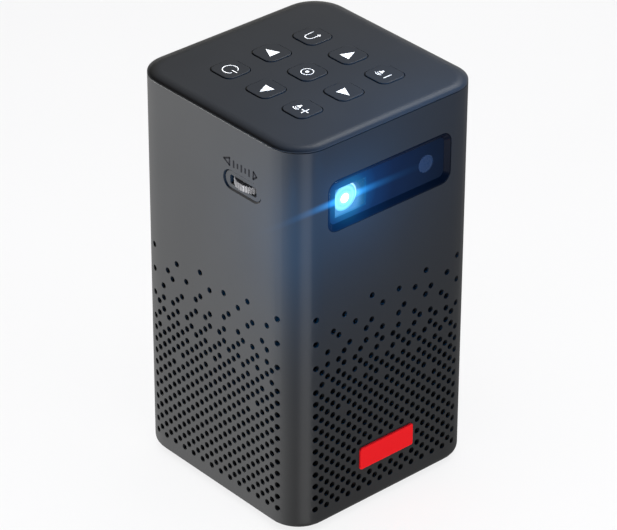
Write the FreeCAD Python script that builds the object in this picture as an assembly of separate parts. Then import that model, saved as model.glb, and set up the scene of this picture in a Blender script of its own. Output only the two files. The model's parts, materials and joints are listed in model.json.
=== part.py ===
import FreeCAD, Part
import math
import os

# A battery-powered tower projector: a square sleeve with rounded corners, a keypad cap on top,
# a lens window near the top of the front, a focus thumbwheel on the left side, and a perforated
# grille round the lower half. Millimetres, +Z up, origin on the table under the middle.
# The lens looks along -Y, the focus wheel is on the -X side, the sockets are at the +Y side.

Vec = FreeCAD.Vector
ORIGIN = Vec(0, 0, 0)
X_AXIS = Vec(1, 0, 0)
Y_AXIS = Vec(0, 1, 0)
Z_AXIS = Vec(0, 0, 1)

# Named clearances
MOVING_GAP = 0.3
RUNNING_GAP = 0.05
SEAT_GAP = 0.15

# Casing
BODY_WIDTH = 81.5
CORNER_RADIUS = 12.0
WALL = 2.0
SLEEVE_HEIGHT = 145.1
BOTTOM_FILLET = 2.8
FOOT_HEIGHT = 1.8
CAP_RISE = 1.1
CAP_EDGE_WIDTH = 4.4
CAP_PLATE = 2.4
SKIRT_DEPTH = 4.6
SKIRT_WALL = 1.6
LEG_INSET = 0.5

# Base
BASE_MARGIN = 5.9
BASE_THICKNESS = 2.0
LIP_THICKNESS = 2.0
LIP_WIDTH = 8.0
LIP_CORNER = 4.0
FLOOR_THICKNESS = 2.0
FOOT_RADIUS = 5.0
FOOT_RECESS = 0.8
FOOT_INSET = 17.5
SCREW_HEAD_RADIUS = 2.6
SCREW_HEAD_HEIGHT = 1.2
SCREW_RADIUS = 1.4
SCREW_LENGTH = 12.0
TRIPOD_BORE_RADIUS = 2.55
TRIPOD_INSERT_RADIUS = 4.6
TRIPOD_INSERT_LENGTH = 8.0
TRIPOD_BOSS_RADIUS = 7.0

# Chassis posts
POST_SIZE = 8.0
POST_INSET = 8.75
SHELF_DROP = 13.65
SHELF_THICKNESS = 2.0
SIDE_WALL_DROP = 10.5
SIDE_WALL_THICKNESS = 2.0

# Grille: staggered columns and half rows, round holes in the real sleeve
GRILLE_COLUMNS = 27
GRILLE_ROWS = 33
COLUMN_PITCH = 2.42
HALF_ROW_PITCH = 2.34
FIRST_ROW_HEIGHT = 9.3
GRILLE_HOLE_RADIUS = 1.15
GRILLE_HOLE_SIDES = 4
LINER_THICKNESS = 0.3
LINER_MARGIN = 3.0

# Rows that thin out upwards, left to right, o for a hole. Every other row is full.
FADING_ROWS = {
    32: "o....o....o..o",
    31: "..o....o.....",
    30: "......o..o..o.",
    29: ".o.o......o..",
    28: "o.o..o..o.o..o",
    27: "....o..o...o.",
    26: ".o.o..o..o..o.",
    25: "..o.oo.o.oo..",
    24: "ooo.o.oo.o.ooo",
    23: "o.oo.o.oo.o.o",
    22: ".oo.oo.oooooo.",
    21: "ooooooo.oo.oo",
    20: "o.oo.oooo.oo.o",
    18: "oooooo.ooooooo",
    15: "oo.ooooooo.oo",
}

# Front badge plate, bare
BADGE_WIDTH = 24.1
BADGE_HEIGHT = 8.6
BADGE_RADIUS = 0.9
BADGE_THICKNESS = 0.7
BADGE_CENTRE_HEIGHT = 21.2
BADGE_MARGIN = 0.6

# Keypad
KEY_PITCH = 17.85
KEY_SIZE = 10.8
KEY_RADIUS = 2.8
KEY_RAISE = 0.35
KEY_TRAVEL = 0.6
KEY_FLANGE_EXTRA = 1.0
KEY_FLANGE_THICKNESS = 0.9
KEY_STEM_SIZE = 3.0
STAKE_RADIUS = 1.0
BOARD_DROP = 6.4
KEYPAD_BOARD_CORNER = 2.0
KEYPAD_BOARD_THICKNESS = 1.2
SWITCH_SIZE = 6.0
SWITCH_HEIGHT = 2.8
SWITCH_WELL_DEPTH = 1.6
BOARD_BOSS_RADIUS = 2.4
RIBBON_WIDTH = 10.0
RIBBON_THICKNESS = 0.3
RIBBON_SOCKET_HEIGHT = 2.8
RIBBON_SOCKET_DEPTH = 3.4
RIBBON_SOCKET_HEEL = 1.4
RIBBON_SOCKET_CHEEK = 1.0
RIBBON_SOCKET_DROP = 6.0

# Lens window in the front
WINDOW_DROP = 22.75
WINDOW_SIDE_MARGIN = 13.75
WINDOW_HEIGHT = 19.1
WINDOW_RADIUS = 4.0
BEZEL_LAND = 0.4
BEVEL_WIDTH = 1.7
BEVEL_DEPTH = 1.4
BEZEL_FLANGE_EXTRA = 1.4
BEZEL_DEPTH = 3.55
GLASS_THICKNESS = 0.8
GLASS_OVERLAP = 1.0
SEAL_WIDTH = 1.5
SEAL_CORNER = 1.0

# Sensor behind the window
SENSOR_X = 16.9
SENSOR_RADIUS = 3.1
SENSOR_BOARD_WIDTH = 15.5
SENSOR_BOARD_THICKNESS = 1.0
SENSOR_BOARD_CORNER = 1.0

# Lens and its focus travel
LENS_INSET = 23.55
NOSE_RADIUS = 6.2
BARREL_RADIUS = 7.0
NOSE_LENGTH = 9.6
BARREL_LENGTH = 27.2
LENS_BORE_RADIUS = 5.5
NOSE_LIP = 0.6
NOSE_LIP_RADIUS = 5.1
LENS_RADIUS = 5.45
FRONT_LENS_EDGE = 2.0
FRONT_LENS_BULGE = 0.45
REAR_LENS_EDGE = 3.0
REAR_LENS_BULGE = 0.8
LENS_SPACER_RADIUS = 4.6
LOCK_RING_LENGTH = 1.6
GUIDE_WALL = 1.6
GUIDE_LENGTH = 22.0
GUIDE_FLANGE = 22.0
GUIDE_FLANGE_THICKNESS = 2.4

# Focus thumbwheel, its pinion and the rack on the lens barrel
WHEEL_RADIUS = 8.0
WHEEL_THICKNESS = 2.5
WHEEL_PROUD = 0.85
WHEEL_Y = -14.7
WHEEL_RISE = 2.5
WHEEL_TURN = 46.0
KNURL_COUNT = 48
KNURL_DEPTH = 0.3
AXLE_RADIUS = 1.0
GEAR_MODULE = 0.6
PINION_TEETH = 12
PINION_ADDENDUM = 0.8
RACK_ADDENDUM = 0.65
GEAR_ROOT = 1.05
GEAR_BACKLASH = 0.12
PRESSURE_ANGLE = 20.0
PINION_HEIGHT = 3.6
RACK_HEIGHT = 2.4
RACK_TEETH_BEHIND = 2
RACK_TEETH_SPARE = 2
RACK_BACK = 2.2
DISH_LENGTH = 18.8
DISH_HEIGHT = 7.3
DISH_DEPTH = 1.2
DISH_SLOPE = 1.1
SLOT_HEIGHT = 3.4
SLOT_CORNER = 0.8
SLOT_END_GAP = 0.4
BRACKET_ARM = 2.0
BRACKET_WIDTH = 9.0
BRACKET_SPINE = 2.2
BRACKET_FOOT = 10.0

# Light engine
ENGINE_LENS_MARGIN = 6.8
ENGINE_BOARD_GAP = 2.0
ENGINE_DEPTH = 30.0
ENGINE_FRONT_Y = -4.2
ENGINE_HEADROOM = 2.2
ENGINE_COVER = 1.5
ENGINE_BACK_WALL = 4.0
CHIP_BOARD_THICKNESS = 1.6
CHIP_BOARD_WIDTH = 28.0
LAMP_SIZE = 8.0
LAMP_DEPTH = 3.5
LAMP_INSET = 6.0
LAMP_SPACING = 12.0
BACK_LAMP_INSET = 4.0

# Cooling
SINK_BASE = 4.0
SINK_WIDTH = 36.0
SINK_CENTRE_X = 1.0
SINK_SETBACK = 1.0
SINK_DEPTH = 26.0
FIN_HEIGHT = 33.5
FIN_COUNT = 11
FIN_THICKNESS = 1.2
FAN_SIZE = 35.0
FAN_DEPTH = 10.0
FAN_BORE_RADIUS = 16.4
FAN_HUB_RADIUS = 8.4
FAN_HUB_WALL = 1.0
FAN_MOTOR_RADIUS = 6.6
FAN_STRUT = 2.4
FAN_STRUT_DEPTH = 1.2
FAN_FRONT_RECESS = 0.8
CUP_FLOOR = 1.2
FAN_SHAFT_RADIUS = 1.0
FAN_BLADES = 7
BLADE_CHORD = 8.5
BLADE_THICKNESS = 1.0
BLADE_ANGLE = 35.0
FAN_TIP_GAP = 0.7

# Main board and sockets
BOARD_INSET = 18.75
BOARD_THICKNESS = 1.6
BOARD_BOTTOM = 12.0
BOARD_DROP_FROM_SHELF = 6.5
BOARD_LENGTH = 56.95
SHIELD_THICKNESS = 2.4
SHIELD_LENGTH = 22.0
SHIELD_HEIGHT = 28.0
SHIELD_RISE = 12.0
SHIELD_GAP = 0.25
SPACER_RADIUS = 2.5
SPACER_INSET_FRONT = 4.0
SPACER_INSET_BACK = 14.0
SPACER_INSET_BOTTOM = 6.0
SPACER_INSET_TOP = 8.0
PANEL_WIDTH = 15.0
PANEL_LENGTH = 58.0
PANEL_BOTTOM = 13.0
PANEL_RADIUS = 2.0
PANEL_RECESS = 1.0
PANEL_MARGIN = 0.6
PANEL_FLANGE = 1.5
PANEL_LINER_GAP = 0.5
SOCKET_OFFSET = 3.3
SOCKET_SETBACK = 0.5
SOCKET_SHELL = 0.4
SOCKET_BACK = 2.0
SOCKET_FOOT_INSET = 1.0
SOCKET_TONGUE = 1.2
SOCKET_TONGUE_SETBACK = 4.3
SOCKET_TONGUE_INSET = 2.0
SOCKET_DEPTH = 11.0
HDMI_WIDTH = 15.0
HDMI_HEIGHT = 5.6
HDMI_CENTRE = 60.0
USB_WIDTH = 13.3
USB_HEIGHT = 5.9
USB_CENTRE = 43.5
JACK_SIZE = 6.4
AUDIO_CENTRE = 31.0
AUDIO_BORE_RADIUS = 1.8
POWER_CENTRE = 20.5
POWER_BORE_RADIUS = 2.8
POWER_PIN_RADIUS = 1.0
POWER_PIN_SETBACK = 1.0
JACK_BACK = 1.0

# Battery
CELL_RADIUS = 9.2
CELL_LENGTH = 65.0
CELL_WALL_GAP = 2.0
CELL_REAR_Y = 14.2
TRAY_WALL = 1.2
TRAY_HEIGHT = 12.0
TRAY_CORNER = 5.0

# Loudspeaker
SPEAKER_RADIUS = 20.0
SPEAKER_CENTRE_HEIGHT = 38.0
BASKET_FLANGE = 1.5
BASKET_DEPTH = 9.0
CONE_OUTER = 15.6
CONE_INNER = 5.0
CONE_DEPTH = 5.5
CONE_THICKNESS = 0.6
BASKET_WALL = 1.0
MAGNET_RADIUS = 10.0
MAGNET_DEPTH = 6.0
SPEAKER_BOX_GAP = 1.0
SPEAKER_BOX_DEPTH = 20.0
SPEAKER_BOX_TOP = 62.0
SPEAKER_BOX_WALL = 1.5

# Places worked out from the sizes above
HALF = BODY_WIDTH / 2
INNER_HALF = HALF - WALL
INNER_RADIUS = CORNER_RADIUS - WALL
SLEEVE_BOTTOM = FOOT_HEIGHT
SLEEVE_TOP = SLEEVE_BOTTOM + SLEEVE_HEIGHT
CAP_TOP = SLEEVE_TOP + CAP_RISE
CAP_UNDER = CAP_TOP - CAP_PLATE
BASE_HALF = HALF - BASE_MARGIN
BASE_CORNER = CORNER_RADIUS - BASE_MARGIN
BASE_TOP = SLEEVE_BOTTOM + BASE_THICKNESS
LIP_HALF = BASE_HALF - LIP_WIDTH
LIP_TOP = BASE_TOP + LIP_THICKNESS
FLOOR_TOP = LIP_TOP + FLOOR_THICKNESS
POST_AT = INNER_HALF - POST_INSET
KEYPAD_TOP = CAP_UNDER - BOARD_DROP
KEYPAD_BOTTOM = KEYPAD_TOP - KEYPAD_BOARD_THICKNESS
KEYPAD_BOARD_SIZE = 2 * (POST_AT - POST_SIZE / 2 - MOVING_GAP)
POST_TOP = KEYPAD_TOP
WINDOW_WIDTH = BODY_WIDTH - 2 * WINDOW_SIDE_MARGIN
WINDOW_CENTRE_HEIGHT = SLEEVE_TOP - WINDOW_DROP
SHELF_HEIGHT = WINDOW_CENTRE_HEIGHT - SHELF_DROP
SHELF_TOP = SHELF_HEIGHT + SHELF_THICKNESS
SIDE_WALL_TOP = SHELF_HEIGHT - SIDE_WALL_DROP
LENS_X = -HALF + LENS_INSET
BOARD_X = HALF - BOARD_INSET
FOOT_AT = HALF - FOOT_INSET
GLASS_FRONT_DEPTH = BEVEL_DEPTH
GLASS_BACK_DEPTH = GLASS_FRONT_DEPTH + GLASS_THICKNESS
GLASS_VIEW_WIDTH = WINDOW_WIDTH - 2 * (SEAT_GAP + BEZEL_LAND + BEVEL_WIDTH)
GLASS_VIEW_HEIGHT = WINDOW_HEIGHT - 2 * (SEAT_GAP + BEZEL_LAND + BEVEL_WIDTH)
GLASS_VIEW_RADIUS = WINDOW_RADIUS - BEZEL_LAND - BEVEL_WIDTH
NOSE_DEPTH = GLASS_BACK_DEPTH + MOVING_GAP
NOSE_Y = -HALF + NOSE_DEPTH
PITCH_RADIUS = GEAR_MODULE * PINION_TEETH / 2
WHEEL_X = -HALF - WHEEL_PROUD + WHEEL_RADIUS
WHEEL_HEIGHT = WINDOW_CENTRE_HEIGHT + WHEEL_RISE
WHEEL_BOTTOM = WHEEL_HEIGHT - WHEEL_THICKNESS / 2
WHEEL_TOP = WHEEL_HEIGHT + WHEEL_THICKNESS / 2
PINION_BOTTOM = WHEEL_BOTTOM - PINION_HEIGHT
RACK_X = WHEEL_X + PITCH_RADIUS
GEAR_PITCH = math.pi * GEAR_MODULE
FOCUS_TRAVEL = PITCH_RADIUS * math.radians(WHEEL_TURN)
RACK_TEETH_AHEAD = math.ceil(FOCUS_TRAVEL / GEAR_PITCH) + RACK_TEETH_SPARE
RACK_TEETH = RACK_TEETH_AHEAD + RACK_TEETH_BEHIND
ENGINE_TOP = KEYPAD_BOTTOM - ENGINE_HEADROOM - ENGINE_COVER
ENGINE_BACK_Y = ENGINE_FRONT_Y + ENGINE_DEPTH
ENGINE_LEFT = LENS_X - ENGINE_LENS_MARGIN
ENGINE_RIGHT = BOARD_X - ENGINE_BOARD_GAP
SINK_TOP = SHELF_TOP
FIN_TOP = SINK_TOP - SINK_BASE
SINK_FRONT_Y = ENGINE_FRONT_Y + SINK_SETBACK
FAN_BACK_Y = SINK_FRONT_Y
FAN_FRONT_Y = FAN_BACK_Y - FAN_DEPTH
FAN_CENTRE_HEIGHT = SHELF_HEIGHT - MOVING_GAP - FAN_SIZE / 2
BOARD_TOP = SHELF_HEIGHT - BOARD_DROP_FROM_SHELF
BOARD_BACK_Y = INNER_HALF - PANEL_FLANGE - MOVING_GAP
BOARD_FRONT_Y = BOARD_BACK_Y - BOARD_LENGTH
PANEL_CENTRE_HEIGHT = PANEL_BOTTOM + PANEL_LENGTH / 2
SOCKET_X = BOARD_X - SOCKET_OFFSET
SOCKET_MOUTH_Y = HALF - PANEL_RECESS - SOCKET_SETBACK
SOCKET_BACK_Y = SOCKET_MOUTH_Y - SOCKET_DEPTH
CELL_X = -INNER_HALF + CELL_WALL_GAP + CELL_RADIUS
CELL_FRONT_Y = CELL_REAR_Y - 2 * CELL_RADIUS - TRAY_WALL
CELL_BOTTOM = FLOOR_TOP + TRAY_WALL
LINER_TOP = FIRST_ROW_HEIGHT + GRILLE_ROWS * HALF_ROW_PITCH + LINER_MARGIN
FACES = {"front": 0, "left": -90, "rear": 180, "right": 90}

# Keys of the three-by-three pad: column to the right as seen from the front, row towards the back
KEYS = {
    "power_key": (-1, 1),
    "down_key": (0, 1),
    "return_key": (1, 1),
    "right_key": (-1, 0),
    "select_key": (0, 0),
    "left_key": (1, 0),
    "volume_up_key": (-1, -1),
    "up_key": (0, -1),
    "volume_down_key": (1, -1),
}


def box(x0, x1, y0, y1, z0, z1):
    return Part.makeBox(x1 - x0, y1 - y0, z1 - z0, Vec(x0, y0, z0))


def cylinder(x, y, radius, z0, z1):
    return Part.makeCylinder(radius, z1 - z0, Vec(x, y, z0), Z_AXIS)


def rounded_outline(width, depth, radius, z, x=0, y=0):
    """A closed wire: a rectangle with round corners, flat at height z."""
    hx = width / 2
    hy = depth / 2
    radius = min(radius, hx - 0.001, hy - 0.001)
    if radius <= 0:
        signs = [(-1, -1), (1, -1), (1, 1), (-1, 1), (-1, -1)]
        return Part.makePolygon([Vec(x + sx * hx, y + sy * hy, z) for sx, sy in signs])
    edges = []
    last = None
    first = None
    for turn, (sx, sy) in enumerate([(1, -1), (1, 1), (-1, 1), (-1, -1)]):
        centre = Vec(x + sx * (hx - radius), y + sy * (hy - radius), z)
        start = math.radians(turn * 90 - 90)
        points = []
        for step in (0, 45, 90):
            angle = start + math.radians(step)
            points.append(centre + Vec(radius * math.cos(angle), radius * math.sin(angle), 0))
        if last is not None:
            edges.append(Part.makeLine(last, points[0]))
        else:
            first = points[0]
        edges.append(Part.Arc(points[0], points[1], points[2]).toShape())
        last = points[2]
    edges.append(Part.makeLine(last, first))
    return Part.Wire(edges)


def slab(width, depth, radius, z0, z1, x=0, y=0):
    """A rounded rectangle raised from z0 to z1."""
    face = Part.Face(rounded_outline(width, depth, radius, z0, x, y))
    return face.extrude(Vec(0, 0, z1 - z0))


def square_post(x, y, size, z0, z1):
    half = size / 2
    return box(x - half, x + half, y - half, y + half, z0, z1)


def tube(x, y, outer, inner, z0, z1):
    return cylinder(x, y, outer, z0, z1).cut(cylinder(x, y, inner, z0, z1))


def stand_on(face, shape):
    """Turn a shape drawn flat, with its height as distance from the middle, onto a side of the body."""
    shape.rotate(ORIGIN, X_AXIS, 90)
    shape.rotate(ORIGIN, Z_AXIS, FACES[face])
    return shape


def face_slab(face, u, height, width, tall, radius, near, far):
    """A rounded slab let into a side, from depth near to depth far. u runs right as seen from outside."""
    return stand_on(face, slab(width, tall, radius, HALF - far, HALF - near, u, height))


def face_cylinder(face, u, height, radius, near, far):
    return stand_on(face, cylinder(u, height, radius, HALF - far, HALF - near))


def face_taper(face, u, height, width, tall, radius, near, far, inset):
    """A slab whose sides slope inwards by inset between depth near and depth far."""
    outer = rounded_outline(width, tall, radius, HALF - near, u, height)
    inner = rounded_outline(width - 2 * inset, tall - 2 * inset, radius - inset, HALF - far, u, height)
    return stand_on(face, Part.makeLoft([outer, inner], True, True))


def along_y(x, z, radius, y0, y1):
    return Part.makeCylinder(radius, y1 - y0, Vec(x, y0, z), Y_AXIS)


def fuse(shapes):
    whole = shapes[0].multiFuse(shapes[1:])
    return whole.removeSplitter()


def group(shapes):
    return Part.makeCompound(shapes)


def four_corners(distance):
    return [(sx * distance, sy * distance) for sx in (-1, 1) for sy in (-1, 1)]


def key_places():
    return [(column * KEY_PITCH, row * KEY_PITCH) for column, row in KEYS.values()]


def grille_places():
    """Column offset and height of each grille hole on one side."""
    places = []
    for row in range(GRILLE_ROWS):
        columns = list(range(row % 2, GRILLE_COLUMNS, 2))
        marks = FADING_ROWS.get(row, "o" * len(columns))
        height = FIRST_ROW_HEIGHT + row * HALF_ROW_PITCH
        for column, mark in zip(columns, marks):
            if mark == "o":
                places.append(((column - (GRILLE_COLUMNS - 1) / 2) * COLUMN_PITCH, height))
    return places


def is_near(across, height, width, tall, margin):
    """True where a hole would cut into a centred rectangle or its margin."""
    reach = GRILLE_HOLE_RADIUS + margin
    return abs(across) < width / 2 + reach and abs(height) < tall / 2 + reach


def makes_way(face, across, height):
    """True where the badge or the port panel takes the place of a hole."""
    if face == "front":
        rise = height - BADGE_CENTRE_HEIGHT
        return is_near(across, rise, BADGE_WIDTH, BADGE_HEIGHT, BADGE_MARGIN)
    if face == "rear":
        rise = height - PANEL_CENTRE_HEIGHT
        return is_near(across + SOCKET_X, rise, PANEL_WIDTH, PANEL_LENGTH, PANEL_MARGIN)
    return False


def grille_cutters(face):
    """One prism per hole, with the open area of the round hole."""
    sides = GRILLE_HOLE_SIDES
    corner = GRILLE_HOLE_RADIUS * math.sqrt(2 * math.pi / (sides * math.sin(2 * math.pi / sides)))
    around = [2 * math.pi * side / sides for side in range(sides + 1)]
    prisms = []
    for across, height in grille_places():
        if makes_way(face, across, height):
            continue
        middle = Vec(across, height, HALF - 2 * WALL)
        points = [middle + Vec(corner * math.cos(angle), corner * math.sin(angle), 0) for angle in around]
        prism = Part.Face(Part.makePolygon(points)).extrude(Vec(0, 0, 2 * WALL + 1))
        prisms.append(stand_on(face, prism))
    return prisms


def body_sleeve():
    blank = slab(BODY_WIDTH, BODY_WIDTH, CORNER_RADIUS, SLEEVE_BOTTOM, SLEEVE_TOP)
    rim = [edge for edge in blank.Edges if edge.BoundBox.ZMax < SLEEVE_BOTTOM + SEAT_GAP]
    blank = blank.makeFillet(BOTTOM_FILLET, rim)
    window = (WINDOW_CENTRE_HEIGHT, WINDOW_WIDTH, WINDOW_HEIGHT, WINDOW_RADIUS)
    dish = (WHEEL_HEIGHT, DISH_LENGTH, DISH_HEIGHT, DISH_HEIGHT / 2)
    slot = (WHEEL_HEIGHT, wheel_slot_length(), SLOT_HEIGHT, SLOT_CORNER)
    cuts = [
        slab(2 * INNER_HALF, 2 * INNER_HALF, INNER_RADIUS, LIP_TOP, SLEEVE_TOP + 1),
        slab(2 * BASE_HALF, 2 * BASE_HALF, BASE_CORNER, SLEEVE_BOTTOM - 1, BASE_TOP),
        slab(2 * LIP_HALF, 2 * LIP_HALF, LIP_CORNER, BASE_TOP - 1, LIP_TOP + 1),
        face_slab("front", 0, *window, -1, WALL + 1),
        face_taper("left", -WHEEL_Y, *dish, 0, DISH_DEPTH, DISH_SLOPE),
        face_slab("left", -WHEEL_Y, *slot, -1, WALL + 1),
        panel_slab(0, -1, WALL + 1),
    ]
    for x, y in four_corners(POST_AT):
        cuts.append(cylinder(x, y, SCREW_RADIUS + MOVING_GAP, BASE_TOP - 1, LIP_TOP + 1))
    sleeve = blank.cut(cuts)
    for face in FACES:
        sleeve = sleeve.cut(grille_cutters(face)).Solids[0]
    return sleeve


def wheel_slot_length():
    """Long enough for the wheel where it passes the inner face of the wall."""
    reach = WHEEL_X + INNER_HALF
    return 2 * (math.sqrt(WHEEL_RADIUS ** 2 - reach ** 2) + SLOT_END_GAP)


def panel_slab(extra, near, far):
    """A slab with the outline of the rear cut-out, larger all round by extra."""
    width = PANEL_WIDTH + 2 * extra
    tall = PANEL_LENGTH + 2 * extra
    return face_slab("rear", -SOCKET_X, PANEL_CENTRE_HEIGHT, width, tall, PANEL_RADIUS, near, far)


def badge_plate():
    outline = (BADGE_CENTRE_HEIGHT, BADGE_WIDTH, BADGE_HEIGHT, BADGE_RADIUS)
    return face_slab("front", 0, *outline, -BADGE_THICKNESS, 0)


def dust_liner():
    """Thin mesh lining behind the grille, seen as black through the holes."""
    outer = slab(2 * INNER_HALF, 2 * INNER_HALF, INNER_RADIUS, FLOOR_TOP, LINER_TOP)
    inside = 2 * (INNER_HALF - LINER_THICKNESS)
    inner = slab(inside, inside, INNER_RADIUS - LINER_THICKNESS, FLOOR_TOP, LINER_TOP)
    opening = panel_slab(PANEL_FLANGE + PANEL_LINER_GAP, WALL - 1, WALL + LINER_THICKNESS + 1)
    return outer.cut([inner, opening])


def cap_edge_band():
    """The soft edge of the cap: a quarter ellipse carried round the rounded square."""
    path = rounded_outline(BODY_WIDTH, BODY_WIDTH, CORNER_RADIUS, SLEEVE_TOP)
    start = path.Edges[0].Vertexes[0].Point
    outward = Vec(0, -1, 0)
    foot = start
    heel = start - outward * CAP_EDGE_WIDTH
    crown = heel + Vec(0, 0, CAP_RISE)
    arc = Part.ArcOfEllipse(Part.Ellipse(foot, crown, heel), 0, math.pi / 2).toShape()
    section = Part.Wire([arc, Part.makeLine(crown, heel), Part.makeLine(heel, foot)])
    return path.makePipeShell([section], True, True)


def top_cap():
    core_width = BODY_WIDTH - 2 * CAP_EDGE_WIDTH
    plug_width = 2 * (INNER_HALF - SEAT_GAP)
    plug_radius = INNER_RADIUS - SEAT_GAP
    hollow_width = plug_width - 2 * SKIRT_WALL
    pieces = [
        slab(core_width, core_width, CORNER_RADIUS - CAP_EDGE_WIDTH, SLEEVE_TOP, CAP_TOP),
        cap_edge_band(),
        slab(plug_width, plug_width, plug_radius, CAP_UNDER - SKIRT_DEPTH, SLEEVE_TOP),
    ]
    cap = fuse(pieces)
    skirt_bottom = CAP_UNDER - SKIRT_DEPTH
    hollow = slab(hollow_width, hollow_width, plug_radius - SKIRT_WALL, skirt_bottom - 1, CAP_UNDER)
    opening = KEY_SIZE + 2 * MOVING_GAP
    cuts = [hollow]
    for x, y in key_places():
        cuts.append(slab(opening, opening, KEY_RADIUS + MOVING_GAP, CAP_UNDER - 1, CAP_TOP + 1, x, y))
    cap = cap.cut(cuts)
    legs = []
    for x, y in four_corners(KEY_PITCH / 2):
        legs.append(cylinder(x, y, BOARD_BOSS_RADIUS, KEYPAD_TOP, CAP_UNDER))
        legs.append(cylinder(x, y, STAKE_RADIUS, KEYPAD_BOTTOM, KEYPAD_TOP))
    for x, y in four_corners(POST_AT):
        legs.append(square_post(x, y, POST_SIZE - 2 * LEG_INSET, POST_TOP, CAP_UNDER))
    return fuse([cap] + legs)


def key(x, y):
    """One key: raised top, hidden flange that keeps it in, and a stem down into its switch."""
    top = CAP_TOP + KEY_RAISE
    flange_top = CAP_UNDER - MOVING_GAP
    flange_bottom = flange_top - KEY_FLANGE_THICKNESS
    stem_bottom = KEYPAD_TOP + SWITCH_HEIGHT - SWITCH_WELL_DEPTH + KEY_TRAVEL + MOVING_GAP
    head = slab(KEY_SIZE, KEY_SIZE, KEY_RADIUS, flange_top, top, x, y)
    flange = square_post(x, y, KEY_SIZE + 2 * (MOVING_GAP + KEY_FLANGE_EXTRA), flange_bottom, flange_top)
    stem = square_post(x, y, KEY_STEM_SIZE, stem_bottom, flange_bottom)
    return fuse([head, flange, stem])


def keypad_board():
    """Board held by four stakes of the cap that pass through it."""
    board = slab(KEYPAD_BOARD_SIZE, KEYPAD_BOARD_SIZE, KEYPAD_BOARD_CORNER, KEYPAD_BOTTOM, KEYPAD_TOP)
    holes = [cylinder(x, y, STAKE_RADIUS + RUNNING_GAP, KEYPAD_BOTTOM - 1, KEYPAD_TOP + 1)
             for x, y in four_corners(KEY_PITCH / 2)]
    return board.cut(holes)


def key_switches():
    switches = []
    top = KEYPAD_TOP + SWITCH_HEIGHT
    for x, y in key_places():
        body = square_post(x, y, SWITCH_SIZE, KEYPAD_TOP, top)
        well = square_post(x, y, KEY_STEM_SIZE + 2 * MOVING_GAP, top - SWITCH_WELL_DEPTH, top + 1)
        switches.append(body.cut(well))
    return group(switches)


def ribbon_x():
    return BOARD_X + BOARD_THICKNESS + RIBBON_SOCKET_DEPTH / 2


def ribbon_sockets():
    """Two sockets: one under the keypad board, one near the top of the main board."""
    half = RIBBON_WIDTH / 2 + RIBBON_SOCKET_CHEEK
    x0 = BOARD_X + BOARD_THICKNESS
    x1 = x0 + RIBBON_SOCKET_DEPTH
    upper_bottom = KEYPAD_BOTTOM - RIBBON_SOCKET_HEIGHT
    upper = box(x0 - RIBBON_SOCKET_HEEL, x1, -half, half, upper_bottom, KEYPAD_BOTTOM)
    lower_top = BOARD_TOP - RIBBON_SOCKET_DROP
    lower = box(x0, x1, -half, half, lower_top - RIBBON_SOCKET_HEIGHT, lower_top)
    return group([upper, lower])


def keypad_ribbon():
    x = ribbon_x()
    half = RIBBON_WIDTH / 2
    thick = RIBBON_THICKNESS / 2
    bottom = BOARD_TOP - RIBBON_SOCKET_DROP
    return box(x - thick, x + thick, -half, half, bottom, KEYPAD_BOTTOM - RIBBON_SOCKET_HEIGHT)


def window_bezel():
    """Black frame: flush at the face, bevelled down to the glass, flanged behind the wall."""
    centre = WINDOW_CENTRE_HEIGHT
    width = WINDOW_WIDTH - 2 * SEAT_GAP
    tall = WINDOW_HEIGHT - 2 * SEAT_GAP
    plate = face_slab("front", 0, centre, width, tall, WINDOW_RADIUS - SEAT_GAP, 0, WALL)
    flange_width = WINDOW_WIDTH + 2 * BEZEL_FLANGE_EXTRA
    flange_tall = WINDOW_HEIGHT + 2 * BEZEL_FLANGE_EXTRA
    flange = face_slab("front", 0, centre, flange_width, flange_tall, WINDOW_RADIUS, WALL, BEZEL_DEPTH)
    edge = (width - 2 * BEZEL_LAND, tall - 2 * BEZEL_LAND, WINDOW_RADIUS - BEZEL_LAND)
    bevel = face_taper("front", 0, centre, *edge, 0, BEVEL_DEPTH, BEVEL_WIDTH)
    pocket = glass_blank(SEAT_GAP, BEVEL_DEPTH, BEZEL_DEPTH + 1)
    return fuse([plate, flange]).cut([bevel, pocket])


def glass_blank(gap, near, far):
    width = GLASS_VIEW_WIDTH + 2 * (GLASS_OVERLAP + gap)
    tall = GLASS_VIEW_HEIGHT + 2 * (GLASS_OVERLAP + gap)
    radius = GLASS_VIEW_RADIUS + GLASS_OVERLAP
    return face_slab("front", 0, WINDOW_CENTRE_HEIGHT, width, tall, radius, near, far)


def window_glass():
    return glass_blank(0, GLASS_FRONT_DEPTH, GLASS_BACK_DEPTH)


def window_seal():
    ring = glass_blank(0, GLASS_BACK_DEPTH, BEZEL_DEPTH)
    width = GLASS_VIEW_WIDTH + 2 * (GLASS_OVERLAP - SEAL_WIDTH)
    tall = GLASS_VIEW_HEIGHT + 2 * (GLASS_OVERLAP - SEAL_WIDTH)
    hole = (WINDOW_CENTRE_HEIGHT, width, tall, SEAL_CORNER)
    return ring.cut(face_slab("front", 0, *hole, GLASS_BACK_DEPTH - 1, BEZEL_DEPTH + 1))


def sensor_board():
    tall = WINDOW_HEIGHT + BEZEL_FLANGE_EXTRA
    outline = (WINDOW_CENTRE_HEIGHT, SENSOR_BOARD_WIDTH, tall, SENSOR_BOARD_CORNER)
    return face_slab("front", SENSOR_X, *outline, BEZEL_DEPTH, BEZEL_DEPTH + SENSOR_BOARD_THICKNESS)


def light_sensor():
    return face_cylinder("front", SENSOR_X, WINDOW_CENTRE_HEIGHT, SENSOR_RADIUS, GLASS_BACK_DEPTH + SEAT_GAP,
                         BEZEL_DEPTH)


def barrel_end_y():
    return NOSE_Y + BARREL_LENGTH


def front_lens_seat_y():
    return NOSE_Y + NOSE_LIP


def rear_lens_seat_y():
    return barrel_end_y() - LOCK_RING_LENGTH - REAR_LENS_EDGE


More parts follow.
